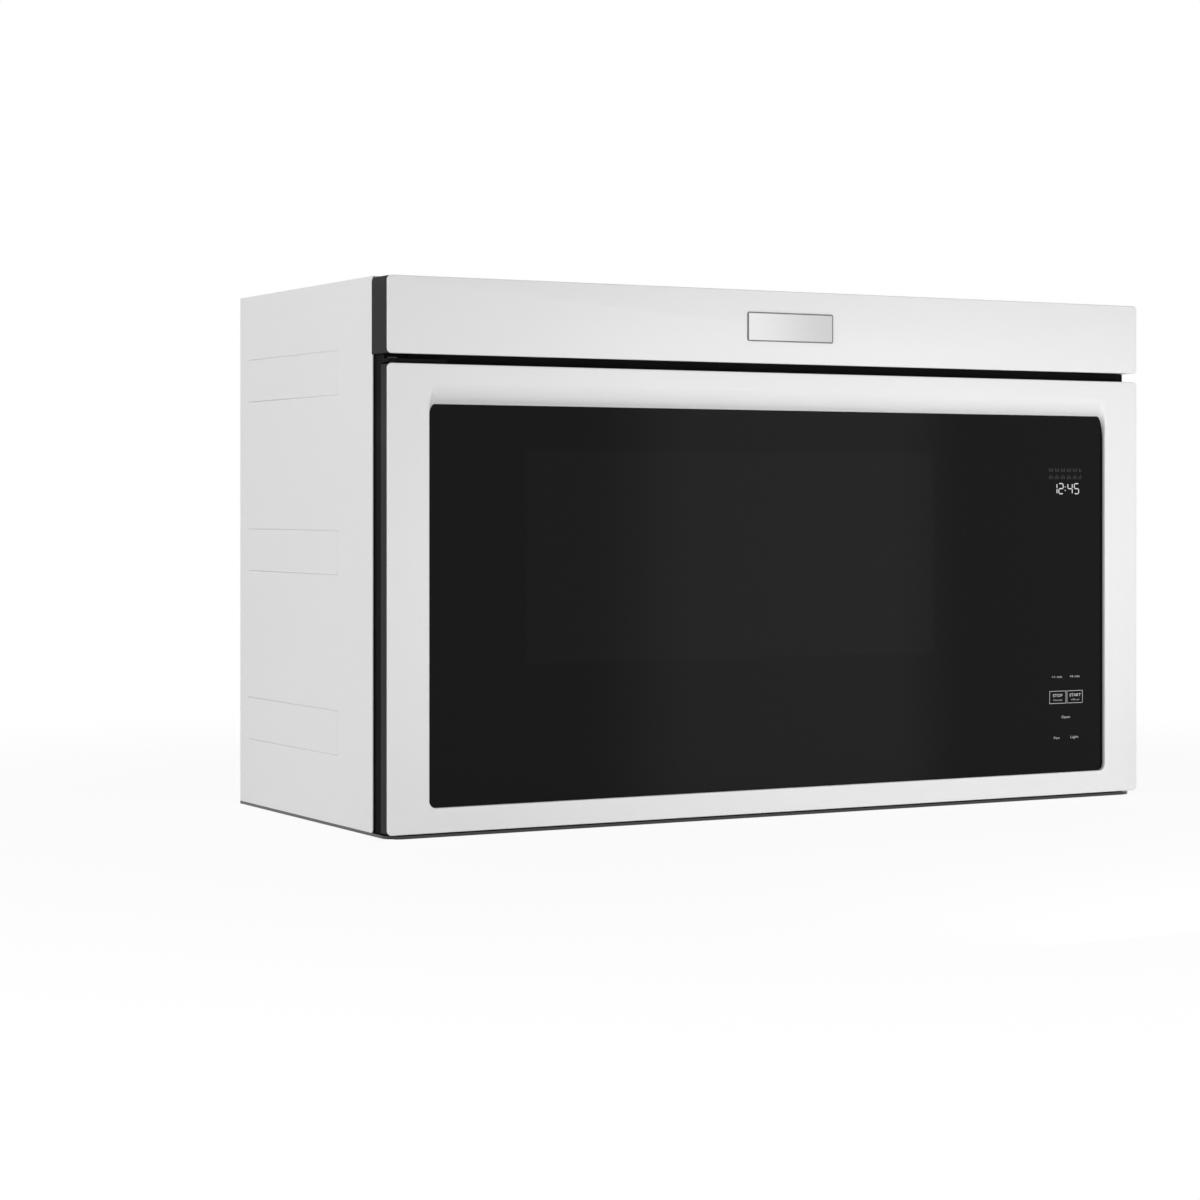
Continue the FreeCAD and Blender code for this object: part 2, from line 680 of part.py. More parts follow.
# ---------------------------------------------------------------- vent panel
def front_skin(rect, corner):
    """Painted front sheet with a short edge turned back all round."""
    solid = panel(rect, 0, SKIN_LIP, corner)
    rim = edges_at(solid, lambda p: p.y < FRONT + 0.01)
    solid = solid.makeChamfer(SKIN_ROUND, rim)
    return solid.cut(panel(grow(rect, -SKIN), SKIN, SKIN_LIP + 1, corner - SKIN))


def vent_panel():
    return front_skin((-WIDTH / 2, WIDTH / 2, VENT_BOTTOM, VENT_TOP), CORNER)


def vent_carrier():
    """Black moulded box behind the vent panel, with air slots in its floor."""
    edge = WIDTH / 2 - 0.8
    z0 = VENT_BOTTOM + 0.4
    z1 = VENT_TOP - 0.4
    solid = block(-edge, edge, SKIN_LIP, CASE_START, z0, z1)
    rear_top = edges_at(solid, lambda p: p.y > FRONT + CASE_START - 1 and p.z > z1 - 1)
    solid = solid.makeFillet(CARRIER_ROUND, rear_top)
    x0, x1, air_z0, air_z1 = vent_rect()
    hollow = block(-edge + MOULDING, edge - MOULDING, SKIN_LIP + MOULDING, CASE_START - MOULDING,
                   z0 + MOULDING, z1 - MOULDING)
    tools = [hollow, block(x0, x1, CASE_START - 2 * MOULDING, CASE_START + 1, air_z0, air_z1)]
    slot_front = SKIN_LIP + MOULDING
    for x in steps(-edge + 12.0, edge - 12.0, 46.0):
        tools.append(block(x - 19.0, x + 19.0, slot_front, FRAME_FRONT - 2.0, z0 - 1, z0 + MOULDING + 1))
    solid = cut(solid, tools)
    pads = block(-edge + SKIN, edge - SKIN, SKIN, SKIN_LIP, z0 + SKIN + 0.2, z1 - SKIN - 0.2)
    return join([solid, pads])


def charcoal_filter():
    """Pleated carbon filter standing behind the air opening's front."""
    z0 = VENT_BOTTOM + 0.4 + MOULDING
    z1 = VENT_TOP - 0.4 - MOULDING
    rear = CASE_START - MOULDING
    x0 = CAV_X - CHARCOAL_WIDTH / 2
    x1 = CAV_X + CHARCOAL_WIDTH / 2
    shell = block(x0, x1, rear - CHARCOAL_THICK, rear, z0, z1)
    face = (x0 + 5.0, x1 - 5.0, z0 + 5.0, z1 - 5.0)
    shell = shell.cut(panel(face, rear - CHARCOAL_THICK - 1, rear + 1))
    pleats = []
    count = round((face[1] - face[0]) / CHARCOAL_PLEAT)
    pitch = (face[1] - face[0]) / count
    middle = rear - CHARCOAL_THICK / 2
    for index in range(count):
        x = face[0] + pitch * index
        zigzag = [(x, middle + 4.0), (x + pitch / 2, middle - 3.0), (x + pitch, middle + 4.0),
                  (x + pitch, middle + 1.0), (x + pitch / 2, middle - 5.5), (x, middle + 1.0)]
        pleats.append(plan_prism(zigzag, face[2], face[3]))
    return join([shell] + pleats)


def badge_plate():
    """Bare plate on the vent panel, left blank."""
    middle = (VENT_BOTTOM + VENT_TOP) / 2
    rect = (-BADGE_WIDTH / 2, BADGE_WIDTH / 2, middle - BADGE_HEIGHT / 2, middle + BADGE_HEIGHT / 2)
    return panel(rect, -BADGE_THICK, 0, 1.5)


# ---------------------------------------------------------------- door
def door_rect():
    return (-WIDTH / 2, WIDTH / 2, DOOR_BOTTOM, DOOR_TOP)


def glass_opening():
    return (-WIDTH / 2 + GLASS_SIDE, WIDTH / 2 - GLASS_SIDE, DOOR_BOTTOM + GLASS_BOTTOM, DOOR_TOP - GLASS_TOP)


def glass_rect():
    return grow(glass_opening(), GLASS_OVERLAP)


def window_rect():
    return (CAV_X0 + WINDOW_SIDE, CAV_X1 - WINDOW_SIDE, CAV_Z0 + WINDOW_UNDER, CAV_Z1 - WINDOW_OVER)


def door_frame():
    """White pressed frame: front sheet, edges turned in to the glass and the sloped strip above it."""
    skin = front_skin(door_rect(), CORNER)
    opening = glass_opening()
    x0, x1, z0, z1 = opening
    tube = panel(grow(opening, SKIN), 0, GLASS_RECESS, GLASS_CORNER + SKIN)
    scoop = [(0, z1 + SCOOP_HEIGHT), (0, z1 + SCOOP_HEIGHT + SKIN), (SKIN, z1 + SCOOP_HEIGHT + SKIN),
             (GLASS_RECESS, z1 + SKIN), (GLASS_RECESS, z1)]
    shelf = side_prism(scoop, x0 - SKIN, x1 + SKIN)
    cheeks = []
    for x in (x0 - SKIN, x1):
        cheeks.append(side_prism([(0, z1 - 1), (0, z1 + SCOOP_HEIGHT), (GLASS_RECESS, z1), (GLASS_RECESS, z1 - 1)],
                                 x, x + SKIN))
    body = join([skin, tube, shelf] + cheeks)
    wedge = side_prism([(-1, z1 + SCOOP_HEIGHT), (0, z1 + SCOOP_HEIGHT), (GLASS_RECESS, z1),
                        (GLASS_RECESS, z1 - 6.0), (-1, z1 - 6.0)], x0, x1)
    return cut(body, [panel(opening, -1, GLASS_RECESS + 1, GLASS_CORNER), wedge])


def door_glass():
    return panel(glass_rect(), GLASS_RECESS, BODY_FRONT, 5.0)


def display_rect():
    """Display window, from the right edge of the glass."""
    x1 = glass_opening()[1] - DISPLAY_SIDE
    z1 = glass_opening()[3] - DISPLAY_TOP
    return (x1 - DISPLAY_WIDTH, x1, z1 - DISPLAY_HEIGHT, z1)


def keys_rect():
    x1 = glass_opening()[1] - KEYS_SIDE
    z0 = glass_opening()[2] + KEYS_BOTTOM
    return (x1 - KEYS_WIDTH, x1, z0, z0 + KEYS_HEIGHT)


def hinge_block(z0, z1):
    """Solid corner of the door body round a hinge bush."""
    x = HINGE_X
    return block(-WIDTH / 2 + BODY_INSET, x + 11.0, BODY_FRONT - 4.0, DOOR_DEPTH, z0, z1)


def bush_levels():
    """Lower and upper bush, as z0, z1."""
    low = DOOR_BOTTOM + BODY_INSET
    high = DOOR_TOP - BODY_INSET
    return [(low, low + BUSH_LENGTH), (high - BUSH_LENGTH, high)]


def door_body():
    """Moulded door body: rim, web behind the glass, ribs and hinge corners."""
    outer = grow(door_rect(), -BODY_INSET)
    pocket = grow(glass_rect(), SEAT_GAP)
    x0, x1, z0, z1 = glass_opening()
    solid = panel(outer, SKIN_LIP, DOOR_DEPTH, CORNER)
    window = window_rect()
    hollow = panel(grow(outer, -MOULDING), BODY_FRONT + MOULDING, DOOR_DEPTH + 1)
    front_room = panel(pocket, 0, BODY_FRONT)
    scoop_room = block(x0 - SKIN - SEAT_GAP, x1 + SKIN + SEAT_GAP, 0, GLASS_RECESS + SEAT_GAP,
                       z1, z1 + SCOOP_HEIGHT + SKIN + SEAT_GAP)
    solid = cut(solid, [hollow, front_room, scoop_room])
    rib_end = PLATE_FRONT
    ribs = [panel(grow(window, WINDOW_LAND + MOULDING), BODY_FRONT, rib_end)]
    for x in steps(outer[0], LATCH_X, 200.0):
        ribs.append(block(x - 0.9, x + 0.9, BODY_FRONT, rib_end, outer[2] + 1, outer[3] - 1))
    guide = (LATCH_X - 7.0, LATCH_X + 7.0, spring_bottom() - SEAT_GAP - MOULDING, latch_levels()[1] + 22.0)
    ribs.append(panel(guide, BODY_FRONT, rib_end))
    levels = bush_levels()
    ribs.append(hinge_block(outer[2], levels[0][1] + 4.0))
    ribs.append(hinge_block(levels[1][0] - 4.0, outer[3]))
    solid = join([solid] + ribs)
    tools = [panel(grow(window, WINDOW_LAND), 0, DOOR_DEPTH + 1)]
    tools.append(panel(grow(guide, -MOULDING), BODY_FRONT + MOULDING, DOOR_DEPTH + 1))
    tools.append(panel(grow(display_rect(), 0.5), 0, DOOR_DEPTH + 1))
    tools.append(panel(grow(keys_rect(), 0.5), 0, DOOR_DEPTH + 1))
    tools.append(panel(grow(board_rect(), 1.0), BODY_FRONT + MOULDING, DOOR_DEPTH + 1))
    tools.append(panel(grow(door_rect(), -PLATE_INSET), PLATE_FRONT, DOOR_DEPTH + 1))
    for low, high in levels:
        tools.append(sided_z(BUSH_RADIUS, HINGE_X, HINGE_DEPTH, low, high, LARGE_SIDES))
        tools.append(sided_z(PIN_RADIUS + 1.0, HINGE_X, HINGE_DEPTH, low - 4.0, high + 4.0))
    solid = cut(solid, tools)
    return solid


def board_rect():
    """Control board in the door, between display and keys."""
    keys = keys_rect()
    return (keys[0] + 8.0, keys[1] - 6.0, keys[3] + 10.0, display_rect()[2] - 10.0)


def hinge_bushes():
    bushes = []
    for low, high in bush_levels():
        tube = sided_z(BUSH_RADIUS, HINGE_X, HINGE_DEPTH, low, high, LARGE_SIDES)
        bushes.append(tube.cut(disc_z(PIN_RADIUS + FIT, HINGE_X, HINGE_DEPTH, low - 1, high + 1)))
    return bushes


def display_module():
    """Clock display pressed against the glass, with its housing."""
    rect = display_rect()
    face = panel(rect, BODY_FRONT, BODY_FRONT + 4.0)
    back = panel(grow(rect, -3.0), BODY_FRONT + 4.0, PLATE_FRONT - 1.0)
    return join([face, back])


def touch_board():
    """Touch sensor board behind the keys."""
    rect = keys_rect()
    back = BODY_FRONT + BOARD_THICK
    board = panel(rect, BODY_FRONT, back)
    chip = panel((rect[0] + 20.0, rect[0] + 34.0, rect[2] + 30.0, rect[2] + 44.0), back, back + 1.4)
    plug = panel((rect[0] + 16.0, rect[0] + 44.0, rect[3] - 10.0, rect[3] - 4.0), back, PLATE_FRONT - 1.0)
    return join([board, chip, plug])


def control_board():
    rect = board_rect()
    front = BODY_FRONT + MOULDING
    back = front + BOARD_THICK
    parts = [panel(rect, front, back)]
    for index, z in enumerate(steps(rect[2] + 6.0, rect[3] - 6.0, 26.0)):
        width = 10.0 + 6.0 * (index % 3)
        parts.append(panel((rect[0] + 6.0, rect[0] + 6.0 + width, z - 5.0, z + 5.0), back, back + 1.6))
    return join(parts)


def choke_slots(rect, depth0, depth1):
    """Comb of slots through the four choke walls."""
    x0, x1, z0, z1 = rect
    reach = 2.5 * SHEET
    tools = []
    for x in steps(x0 + 12.0, x1 - 12.0, CHOKE_PITCH):
        for z in (z0, z1):
            tools.append(block(x - CHOKE_SLOT / 2, x + CHOKE_SLOT / 2, depth0, depth1, z - reach, z + reach))
    for z in steps(z0 + 12.0, z1 - 12.0, CHOKE_PITCH):
        for x in (x0, x1):
            tools.append(block(x - reach, x + reach, depth0, depth1, z - CHOKE_SLOT / 2, z + CHOKE_SLOT / 2))
    return tools


def choke_plate():
    """Steel inner door: plate, folded choke channel with its comb, and the window's land."""
    plate = panel(grow(door_rect(), -PLATE_INSET - SEAT_GAP), PLATE_FRONT, DOOR_DEPTH)
    outer = choke_rect()
    land = grow(outer, -CHOKE_CHANNEL)
    wall = panel(outer, DOOR_DEPTH, CHOKE_END).cut(panel(grow(outer, -SHEET), 0, CHOKE_END + 1))
    box = panel(land, DOOR_DEPTH, CHOKE_END)
    box = box.cut(panel(grow(land, -SHEET), 0, CHOKE_END - SHEET))
    solid = join([plate, wall, box])
    tools = [panel(window_rect(), 0, CHOKE_END + 1)]
    tools.append(panel(grow(window_rect(), WINDOW_LAND), 0, DOOR_DEPTH + 0.01))
    for z in latch_levels():
        tools.append(panel(latch_slot(z), 0, DOOR_DEPTH + 1))
    tools += choke_slots(outer, CHOKE_END - CHOKE_SLOT_DEPTH, CHOKE_END + 1)
    return cut(solid, tools)


def choke_cover():
    """Thin plastic ring over the choke channel, clipped into it."""
    outer = grow(choke_rect(), 1.0)
    inner = grow(choke_rect(), -CHOKE_CHANNEL - 8.0)
    ring = panel(outer, CHOKE_END, CHOKE_END + CHOKE_COVER, 3.0)
    ring = ring.cut(panel(inner, CHOKE_END - 1, CHOKE_END + 2))
    clip_rect = grow(choke_rect(), -SHEET - SEAT_GAP)
    clips = panel(clip_rect, CHOKE_END - 4.0, CHOKE_END)
    clips = clips.cut(panel(grow(clip_rect, -1.5), CHOKE_END - 5.0, CHOKE_END + 1))
    return join([ring, clips])


def door_screen():
    """Perforated sheet behind the window's land."""
    rect = grow(window_rect(), 8.0)
    return panel(rect, CHOKE_END - SHEET - 0.8, CHOKE_END - SHEET)


def inner_window():
    rect = grow(window_rect(), -SEAT_GAP)
    return panel(rect, CHOKE_END - SHEET, CHOKE_END)


# ---------------------------------------------------------------- latch and interlock
def hook_outline(z):
    """Side view of one hook as (depth, z) corners, nose down."""
    low = z - LATCH_ARM / 2
    high = z + LATCH_ARM / 2
    root = PLATE_FRONT - 4.0
    return [(root, low), (LATCH_REACH - NOSE_LENGTH, low), (LATCH_REACH - NOSE_LENGTH, low - NOSE_DROP),
            (LATCH_REACH - 3.0, low - NOSE_DROP), (LATCH_REACH, low - 1.0), (LATCH_REACH, high), (root, high)]


def latch_bar_front():
    return PLATE_FRONT - 4.0


def latch_hooks():
    """Latch head: a bar in the door with two hooks that reach into the case."""
    x0 = LATCH_X - LATCH_THICK / 2
    x1 = LATCH_X + LATCH_THICK / 2
    lower, upper = latch_levels()
    front = latch_bar_front()
    bar = block(x0, x1, front, PLATE_FRONT - 0.5, lower - 20.0, upper + 12.0)
    hooks = [side_prism(hook_outline(z), x0, x1) for z in (lower, upper)]
    eye = block(x0, x1, front, PLATE_FRONT - 0.5, lower - 24.0, lower - 20.0)
    return join([bar, eye] + hooks)


def latch_spring():
    """Tension spring that pulls the latch head down, its coil in short straight pieces."""
    middle = FRONT + (latch_bar_front() + PLATE_FRONT) / 2
    half = SPRING_WIRE / 2
    rows = []
    for index in range(SPRING_TURNS * SPRING_SIDES + 1):
        turn = index / SPRING_SIDES
        height = spring_bottom() + half + SPRING_PITCH * turn
        row = []
        for reach, rise in ((half, 0), (0, half), (-half, 0), (0, -half)):
            x = LATCH_X + (SPRING_RADIUS + reach) * math.cos(2 * math.pi * turn)
            y = middle + (SPRING_RADIUS + reach) * math.sin(2 * math.pi * turn)
            row.append(Vec(x, y, height + rise))
        rows.append(row)
    faces = [flat(rows[0]), flat(rows[-1][::-1])]
    for low, high in zip(rows, rows[1:]):
        for side in range(4):
            after = (side + 1) % 4
            faces.append(flat([low[after], low[side], high[after]]))
            faces.append(flat([low[side], high[side], high[after]]))
    return Part.Solid(Part.Shell(faces))


def spring_bottom():
    """Lower end of the spring, which hangs from the eye of the latch head."""
    eye = latch_levels()[0] - 24.0
    return eye - SEAT_GAP - SPRING_PITCH * SPRING_TURNS - SPRING_WIRE


def interlock_rect():
    """Bracket behind the face plate: left edge, right edge, bottom, top."""
    lower, upper = latch_levels()
    left = LATCH_X - SWITCH_LENGTH / 2
    return (left - MOULDING, LATCH_X + CATCH_SIDE, lower - CATCH_UNDER, upper + CATCH_OVER)


def interlock_bracket():
    """Moulded latch board: the front wall catches the hooks, the side wall carries the switches."""
    x0, x1, z0, z1 = interlock_rect()
    front = FACE_REAR
    catch = LATCH_REACH - NOSE_LENGTH - 0.5
    wall = block(x0, x1, front, catch, z0, z1)
    side = block(x0, x0 + MOULDING, catch, switch_front() + SWITCH_DEPTH + 4.0, z0, z1)
    tab = x0 - CATCH_TAB / 2
    foot = block(tab, x0, front, front + MOULDING, z0, z0 + CATCH_TAB)
    head = block(tab, x0, front, front + MOULDING, z1 - CATCH_TAB, z1)
    solid = join([wall, side, foot, head])
    tools = []
    for z in latch_levels():
        slot = latch_slot(z)
        low = z - LATCH_ARM / 2 - SEAT_GAP
        tools.append(block(slot[0], slot[1], front - 1, catch + 1, low, slot[3]))
    return cut(solid, tools)


def switch_front():
    """Depth of the switches' front faces."""
    return LATCH_REACH + SEAT_GAP + SWITCH_TRAVEL + 0.2


def switch_levels():
    """Lower switch, then a pair behind the upper hook."""
    lower, upper = latch_levels()
    half = SWITCH_HEIGHT / 2 + 0.1
    return [lower, upper - half, upper + half]


def interlock_switches():
    """Three snap switches, each with a blind bore for its plunger."""
    front = switch_front()
    left = LATCH_X - SWITCH_LENGTH / 2
    switches = []
    for z in switch_levels():
        case = block(left, left + SWITCH_LENGTH, front, front + SWITCH_DEPTH, z - SWITCH_HEIGHT / 2,
                     z + SWITCH_HEIGHT / 2)
        tags = [block(left + 3.0 + 6.0 * index, left + 4.0 + 6.0 * index, front + SWITCH_DEPTH,
                      front + SWITCH_DEPTH + 4.0, z - 1.5, z + 1.5) for index in range(3)]
        bore = sided_y(PLUNGER_RADIUS + FIT, LATCH_X, z, front - 1, front + SWITCH_DEPTH - 1.0)
        switches.append(join([case] + tags).cut(bore))
    return switches


def switch_plunger(z):
    start = LATCH_REACH + SEAT_GAP
    end = switch_front() + SWITCH_DEPTH - 1.0 - SWITCH_TRAVEL - 0.3
    return sided_y(PLUNGER_RADIUS, LATCH_X, z, start, end)


def release_place():
    """Depth of the release plunger's axis and the height of its head."""
    depth = LATCH_REACH - NOSE_LENGTH / 2 + 2.0
    head = latch_levels()[0] - LATCH_ARM / 2 - NOSE_DROP - 0.5
    return depth, head


def release_solenoid():
    """Coil frame fixed to the latch board under the lower hook."""
    depth, head = release_place()
    top = head - 14.0
    bottom = interlock_rect()[2]
    side = interlock_rect()[0] + MOULDING
    front = LATCH_REACH - NOSE_LENGTH - 0.5
    frame = block(side, LATCH_X + 12.0, front, front + 18.0, bottom, top)
    window = block(side - 1, LATCH_X + 13.0, front - 1, front + 16.0, bottom + 2.0, top - 2.0)
    coil = sided_z(depth - front - SEAT_GAP, LATCH_X, depth, bottom + 2.0, top - 2.0)
    bore = disc_z(PIN_RADIUS + FIT, LATCH_X, depth, bottom - 1, top + 1)
    return join([frame.cut(window), coil]).cut(bore)


def release_plunger():
    """Plunger that lifts the latch head when the open key is touched."""
    depth, head = release_place()
    rod = disc_z(PIN_RADIUS, LATCH_X, depth, interlock_rect()[2] + 3.0, head - 4.0)
    pad = block(LATCH_X - 3.5, LATCH_X + 3.5, depth - 3.5, depth + 3.5, head - 4.0, head)
    return join([rod, pad])


# ---------------------------------------------------------------- hinge
def upper_hinge():
    """Black steel leaf over the door's top left corner, screwed to the front frame."""
    z0 = DOOR_TOP + 1.2
    left = HINGE_X - 5.5
    right = HINGE_X + LEAF_LENGTH
    leaf = block(left, right, HINGE_DEPTH - 5.0, FRAME_FRONT, z0, z0 + LEAF_THICK)
    fold = block(HINGE_X + HINGE_RELIEF_WIDTH, right, FRAME_FRONT - LEAF_THICK, FRAME_FRONT,
                 z0 + LEAF_THICK, VENT_BOTTOM)
    corner = edges_at(leaf, lambda p: p.x < left + 1 and p.y < FRONT + HINGE_DEPTH)
    corner = [edge for edge in corner if abs(edge.Vertexes[0].Z - edge.Vertexes[1].Z) > 1]
    leaf = leaf.makeFillet(4.0, corner)
    return join([leaf, fold]).cut(disc_z(PIN_RADIUS, HINGE_X, HINGE_DEPTH, z0 - 1, z0 + LEAF_THICK + 1))


def hinge_pins():
    """Lower pin riveted in the base pan, upper pin in the leaf."""
    lower, upper = bush_levels()
    leaf_top = DOOR_TOP + 1.2 + LEAF_THICK
    pins = [disc_z(PIN_RADIUS, HINGE_X, HINGE_DEPTH, 0.2, lower[1]),
            disc_z(PIN_RADIUS, HINGE_X, HINGE_DEPTH, upper[0], leaf_top)]
    head = disc_z(PIN_RADIUS + 1.2, HINGE_X, HINGE_DEPTH, leaf_top, leaf_top + 1.2)
    return [pins[0], join([pins[1], head])]


# ---------------------------------------------------------------- oven
def well():
    """Sunk part of the oven floor, as x0, x1, depth0, depth1."""
    return (CAV_X0 + WELL_MARGIN, CAV_X1 - WELL_MARGIN,
            FACE_REAR + WELL_MARGIN / 2, CAV_REAR - WELL_MARGIN / 2)


def well_outline(wall):
    """Corners of the well in plan, cut off at a slant, a wall's thickness further out."""
    x0, x1, depth0, depth1 = well()
    x0, x1, depth0, depth1 = x0 - wall, x1 + wall, depth0 - wall, depth1 + wall
    return [(x0 + WELL_CORNER, depth0), (x1 - WELL_CORNER, depth0), (x1, depth0 + WELL_CORNER),
            (x1, depth1 - WELL_CORNER), (x1 - WELL_CORNER, depth1), (x0 + WELL_CORNER, depth1),
            (x0, depth1 - WELL_CORNER), (x0, depth0 + WELL_CORNER)]


def oven_cavity():
    """Folded oven box of sides, top and back with air slots, standing on the oven's floor."""
    shell = block(CAV_X0 - SHEET, CAV_X1 + SHEET, FACE_REAR, CAV_REAR + SHEET, CAV_Z0, CAV_Z1 + SHEET)
    tools = [block(CAV_X0, CAV_X1, FACE_REAR - 1, CAV_REAR, CAV_Z0 - 1, CAV_Z1)]
    for depth in steps(FACE_REAR + 40.0, FACE_REAR + 110.0, 14.0):
        tools.append(block(CAV_X1 - 1, CAV_X1 + SHEET + 1, depth - 1.5, depth + 1.5, CAV_Z1 - 60.0, CAV_Z1 - 30.0))
    for depth in steps(CAV_REAR - 110.0, CAV_REAR - 40.0, 14.0):
        tools.append(block(CAV_X0 - SHEET - 1, CAV_X0 + 1, depth - 1.5, depth + 1.5, CAV_Z1 - 60.0, CAV_Z1 - 30.0))
    return cut(shell, tools)


def oven_floor():
    """Pressed floor of the oven, with a well sunk into it for the stirrer."""
    plate = block(CAV_X0 - SHEET, CAV_X1 + SHEET, FACE_REAR, CAV_REAR + SHEET, CAV_Z0 - SHEET, CAV_Z0)
    pan = plan_prism(well_outline(SHEET), WELL_BOTTOM - SHEET, CAV_Z0 - SHEET / 2)
    sink = plan_prism(well_outline(0.0), WELL_BOTTOM, CAV_Z0 + 1)
    feed = sided_z(FEED_RADIUS, CAV_X, CAV_DEPTH_MIDDLE, WELL_BOTTOM - 2 * SHEET, WELL_BOTTOM + SHEET)
    return cut(join([plate, pan]), [sink, feed])


def ceramic_floor():
    gap = 1.5
    return slab(CAV_X0 + gap, CAV_X1 - gap, FACE_REAR + gap, CAV_REAR - gap, CAV_Z0, CAV_Z0 + CERAMIC)


def guide_bottom():
    return WELL_BOTTOM - SHEET - GUIDE_HEIGHT


def source_x():
    """Middle of the magnetron, between the cavity and the case side."""
    return (CAV_X1 + SHEET + INNER) / 2


def waveguide():
    """Rectangular duct under the well that carries power from the magnetron to the stirrer."""
    half = GUIDE_WIDTH / 2
    depth = CAV_DEPTH_MIDDLE
    z0 = guide_bottom()
    z1 = WELL_BOTTOM - SHEET
    x0 = CAV_X - 55.0
    x1 = source_x() + 45.0
    shell = block(x0, x1, depth - half, depth + half, z0, z1)
    hollow = block(x0 + SHEET, x1 - SHEET, depth - half + SHEET, depth + half - SHEET, z0 + SHEET, z1 - SHEET)
    feed = sided_z(FEED_RADIUS, CAV_X, depth, z1 - 2 * SHEET, z1 + SHEET)
    shaft_hole = sided_z(STIRRER_SHAFT_RADIUS + 1.0, CAV_X, depth, z0 - SHEET, z0 + 2 * SHEET)
    launch = sided_z(ANTENNA_RADIUS + 9.0, source_x(), depth, z1 - 2 * SHEET, z1 + SHEET)
    return cut(shell, [hollow, feed, shaft_hole, launch])


def stirrer():
    """Rotating antenna: a three-lobed plate on its shaft."""
    depth = CAV_DEPTH_MIDDLE
    z0 = WELL_BOTTOM + WELL_DEPTH / 2 - 1.5
    z1 = z0 + STIRRER_THICK
    half = STIRRER_ARM / 2
    hub = sided_z(STIRRER_HUB_RADIUS, CAV_X, depth, z0, z1)
    arms = []
    for index in range(3):
        arm = block(CAV_X, CAV_X + STIRRER_RADIUS, depth - half, depth + half, z0, z1)
        slot_x = CAV_X + STIRRER_HUB_RADIUS + 8.0
        arm = arm.cut(block(slot_x, CAV_X + STIRRER_RADIUS - 10.0, depth - 4.0, depth + 4.0, z0 - 1, z1 + 1))
        arm.rotate(Vec(CAV_X, FRONT + depth, 0), Vec(0, 0, 1), 120.0 * index)
        arms.append(arm)
    shaft = disc_z(STIRRER_SHAFT_RADIUS, CAV_X, depth, guide_bottom() - STIRRER_MOTOR_HEIGHT + 2.0, z1)
    return join([hub] + arms + [shaft])


def stirrer_motor():
    """Flat synchronous motor under the waveguide."""
    depth = CAV_DEPTH_MIDDLE
    z1 = guide_bottom()
    z0 = z1 - STIRRER_MOTOR_HEIGHT
    can = sided_z(STIRRER_MOTOR_RADIUS, CAV_X, depth, z0, z1, LARGE_SIDES)
    reach = STIRRER_MOTOR_RADIUS + 10.0
    ears = block(CAV_X - reach, CAV_X + reach, depth - 6.0, depth + 6.0, z1 - 1.5, z1)
    bore = disc_z(STIRRER_SHAFT_RADIUS + FIT, CAV_X, depth, z0 + 1.5, z1 + 1)
    return join([can, ears]).cut(bore)


def magnetron_yoke():
    """Steel yoke of the magnetron, open at two sides, with the filter box on top."""
    x = source_x()
    depth = CAV_DEPTH_MIDDLE
    z0 = WELL_BOTTOM - SHEET
    z1 = z0 + MAGNETRON_HEIGHT
    half = MAGNETRON_WIDTH / 2
    deep = MAGNETRON_DEPTH / 2
    yoke = block(x - half, x + half, depth - deep, depth + deep, z0, z1)
    room = block(x - half + YOKE_WALL, x + half - YOKE_WALL, depth - deep - 1, depth + deep + 1,
                 z0 + YOKE_WALL, z1 - YOKE_WALL)
    side = CAPACITOR_BOX / 2
    box = block(x - side, x + side, depth - side, depth + side, z1, z1 + CAPACITOR_BOX_HEIGHT)
    solid = join([yoke.cut(room), box])
    return solid.cut(sided_z(ANODE_RADIUS + SEAT_GAP, x, depth, z0 - 1, z1))


def magnetron_anode():
    """Copper anode with cooling fins, ring magnets and the antenna."""
    x = source_x()
    depth = CAV_DEPTH_MIDDLE
    z0 = WELL_BOTTOM - SHEET
    z1 = z0 + MAGNETRON_HEIGHT
    half = MAGNETRON_WIDTH / 2 - YOKE_WALL
    deep = MAGNETRON_DEPTH / 2 - 1.0
    tube = sided_z(ANODE_RADIUS, x, depth, z0, z1)
    low = z0 + YOKE_WALL
    high = z1 - YOKE_WALL
    rings = [sided_z(ANODE_RADIUS + MAGNET_STEP, x, depth, low, low + MAGNET_HEIGHT),
             sided_z(ANODE_RADIUS + MAGNET_STEP, x, depth, high - MAGNET_HEIGHT, high)]
    fins = []
    pitch = (high - low - 2 * MAGNET_HEIGHT) / (MAGNETRON_FINS + 1)
    for index in range(MAGNETRON_FINS):
        z = low + MAGNET_HEIGHT + pitch * (index + 1)
        fins.append(block(x - half, x + half, depth - deep, depth + deep, z - 0.4, z + 0.4))
    antenna = sided_z(ANTENNA_RADIUS, x, depth, z0 - ANTENNA_LENGTH, z0)
    return join([tube, antenna] + rings + fins)


# ---------------------------------------------------------------- right hand compartment
def shelf_place():
    """Front and rear depth of the shelf beside the oven, and its height."""
    return FACE_REAR + SHELF_FRONT, CAV_REAR - SHELF_REAR, CAV_Z1 - SHELF_DROP


def component_bracket():
    """Folded shelf on the oven's right wall that carries the inverter board."""
    x0 = CAV_X1 + SHEET
    x1 = INNER - SHELF_SIDE
    depth0, depth1, z = shelf_place()
    web = block(x0, x0 + SHEET, depth0, depth1, z, z + SHELF_WEB)
    shelf = block(x0, x1, depth0, depth1, z, z + SHEET)
    lip = block(x1 - SHEET, x1, depth0, depth1, z, z + SHELF_LIP)
    return join([web, shelf, lip])


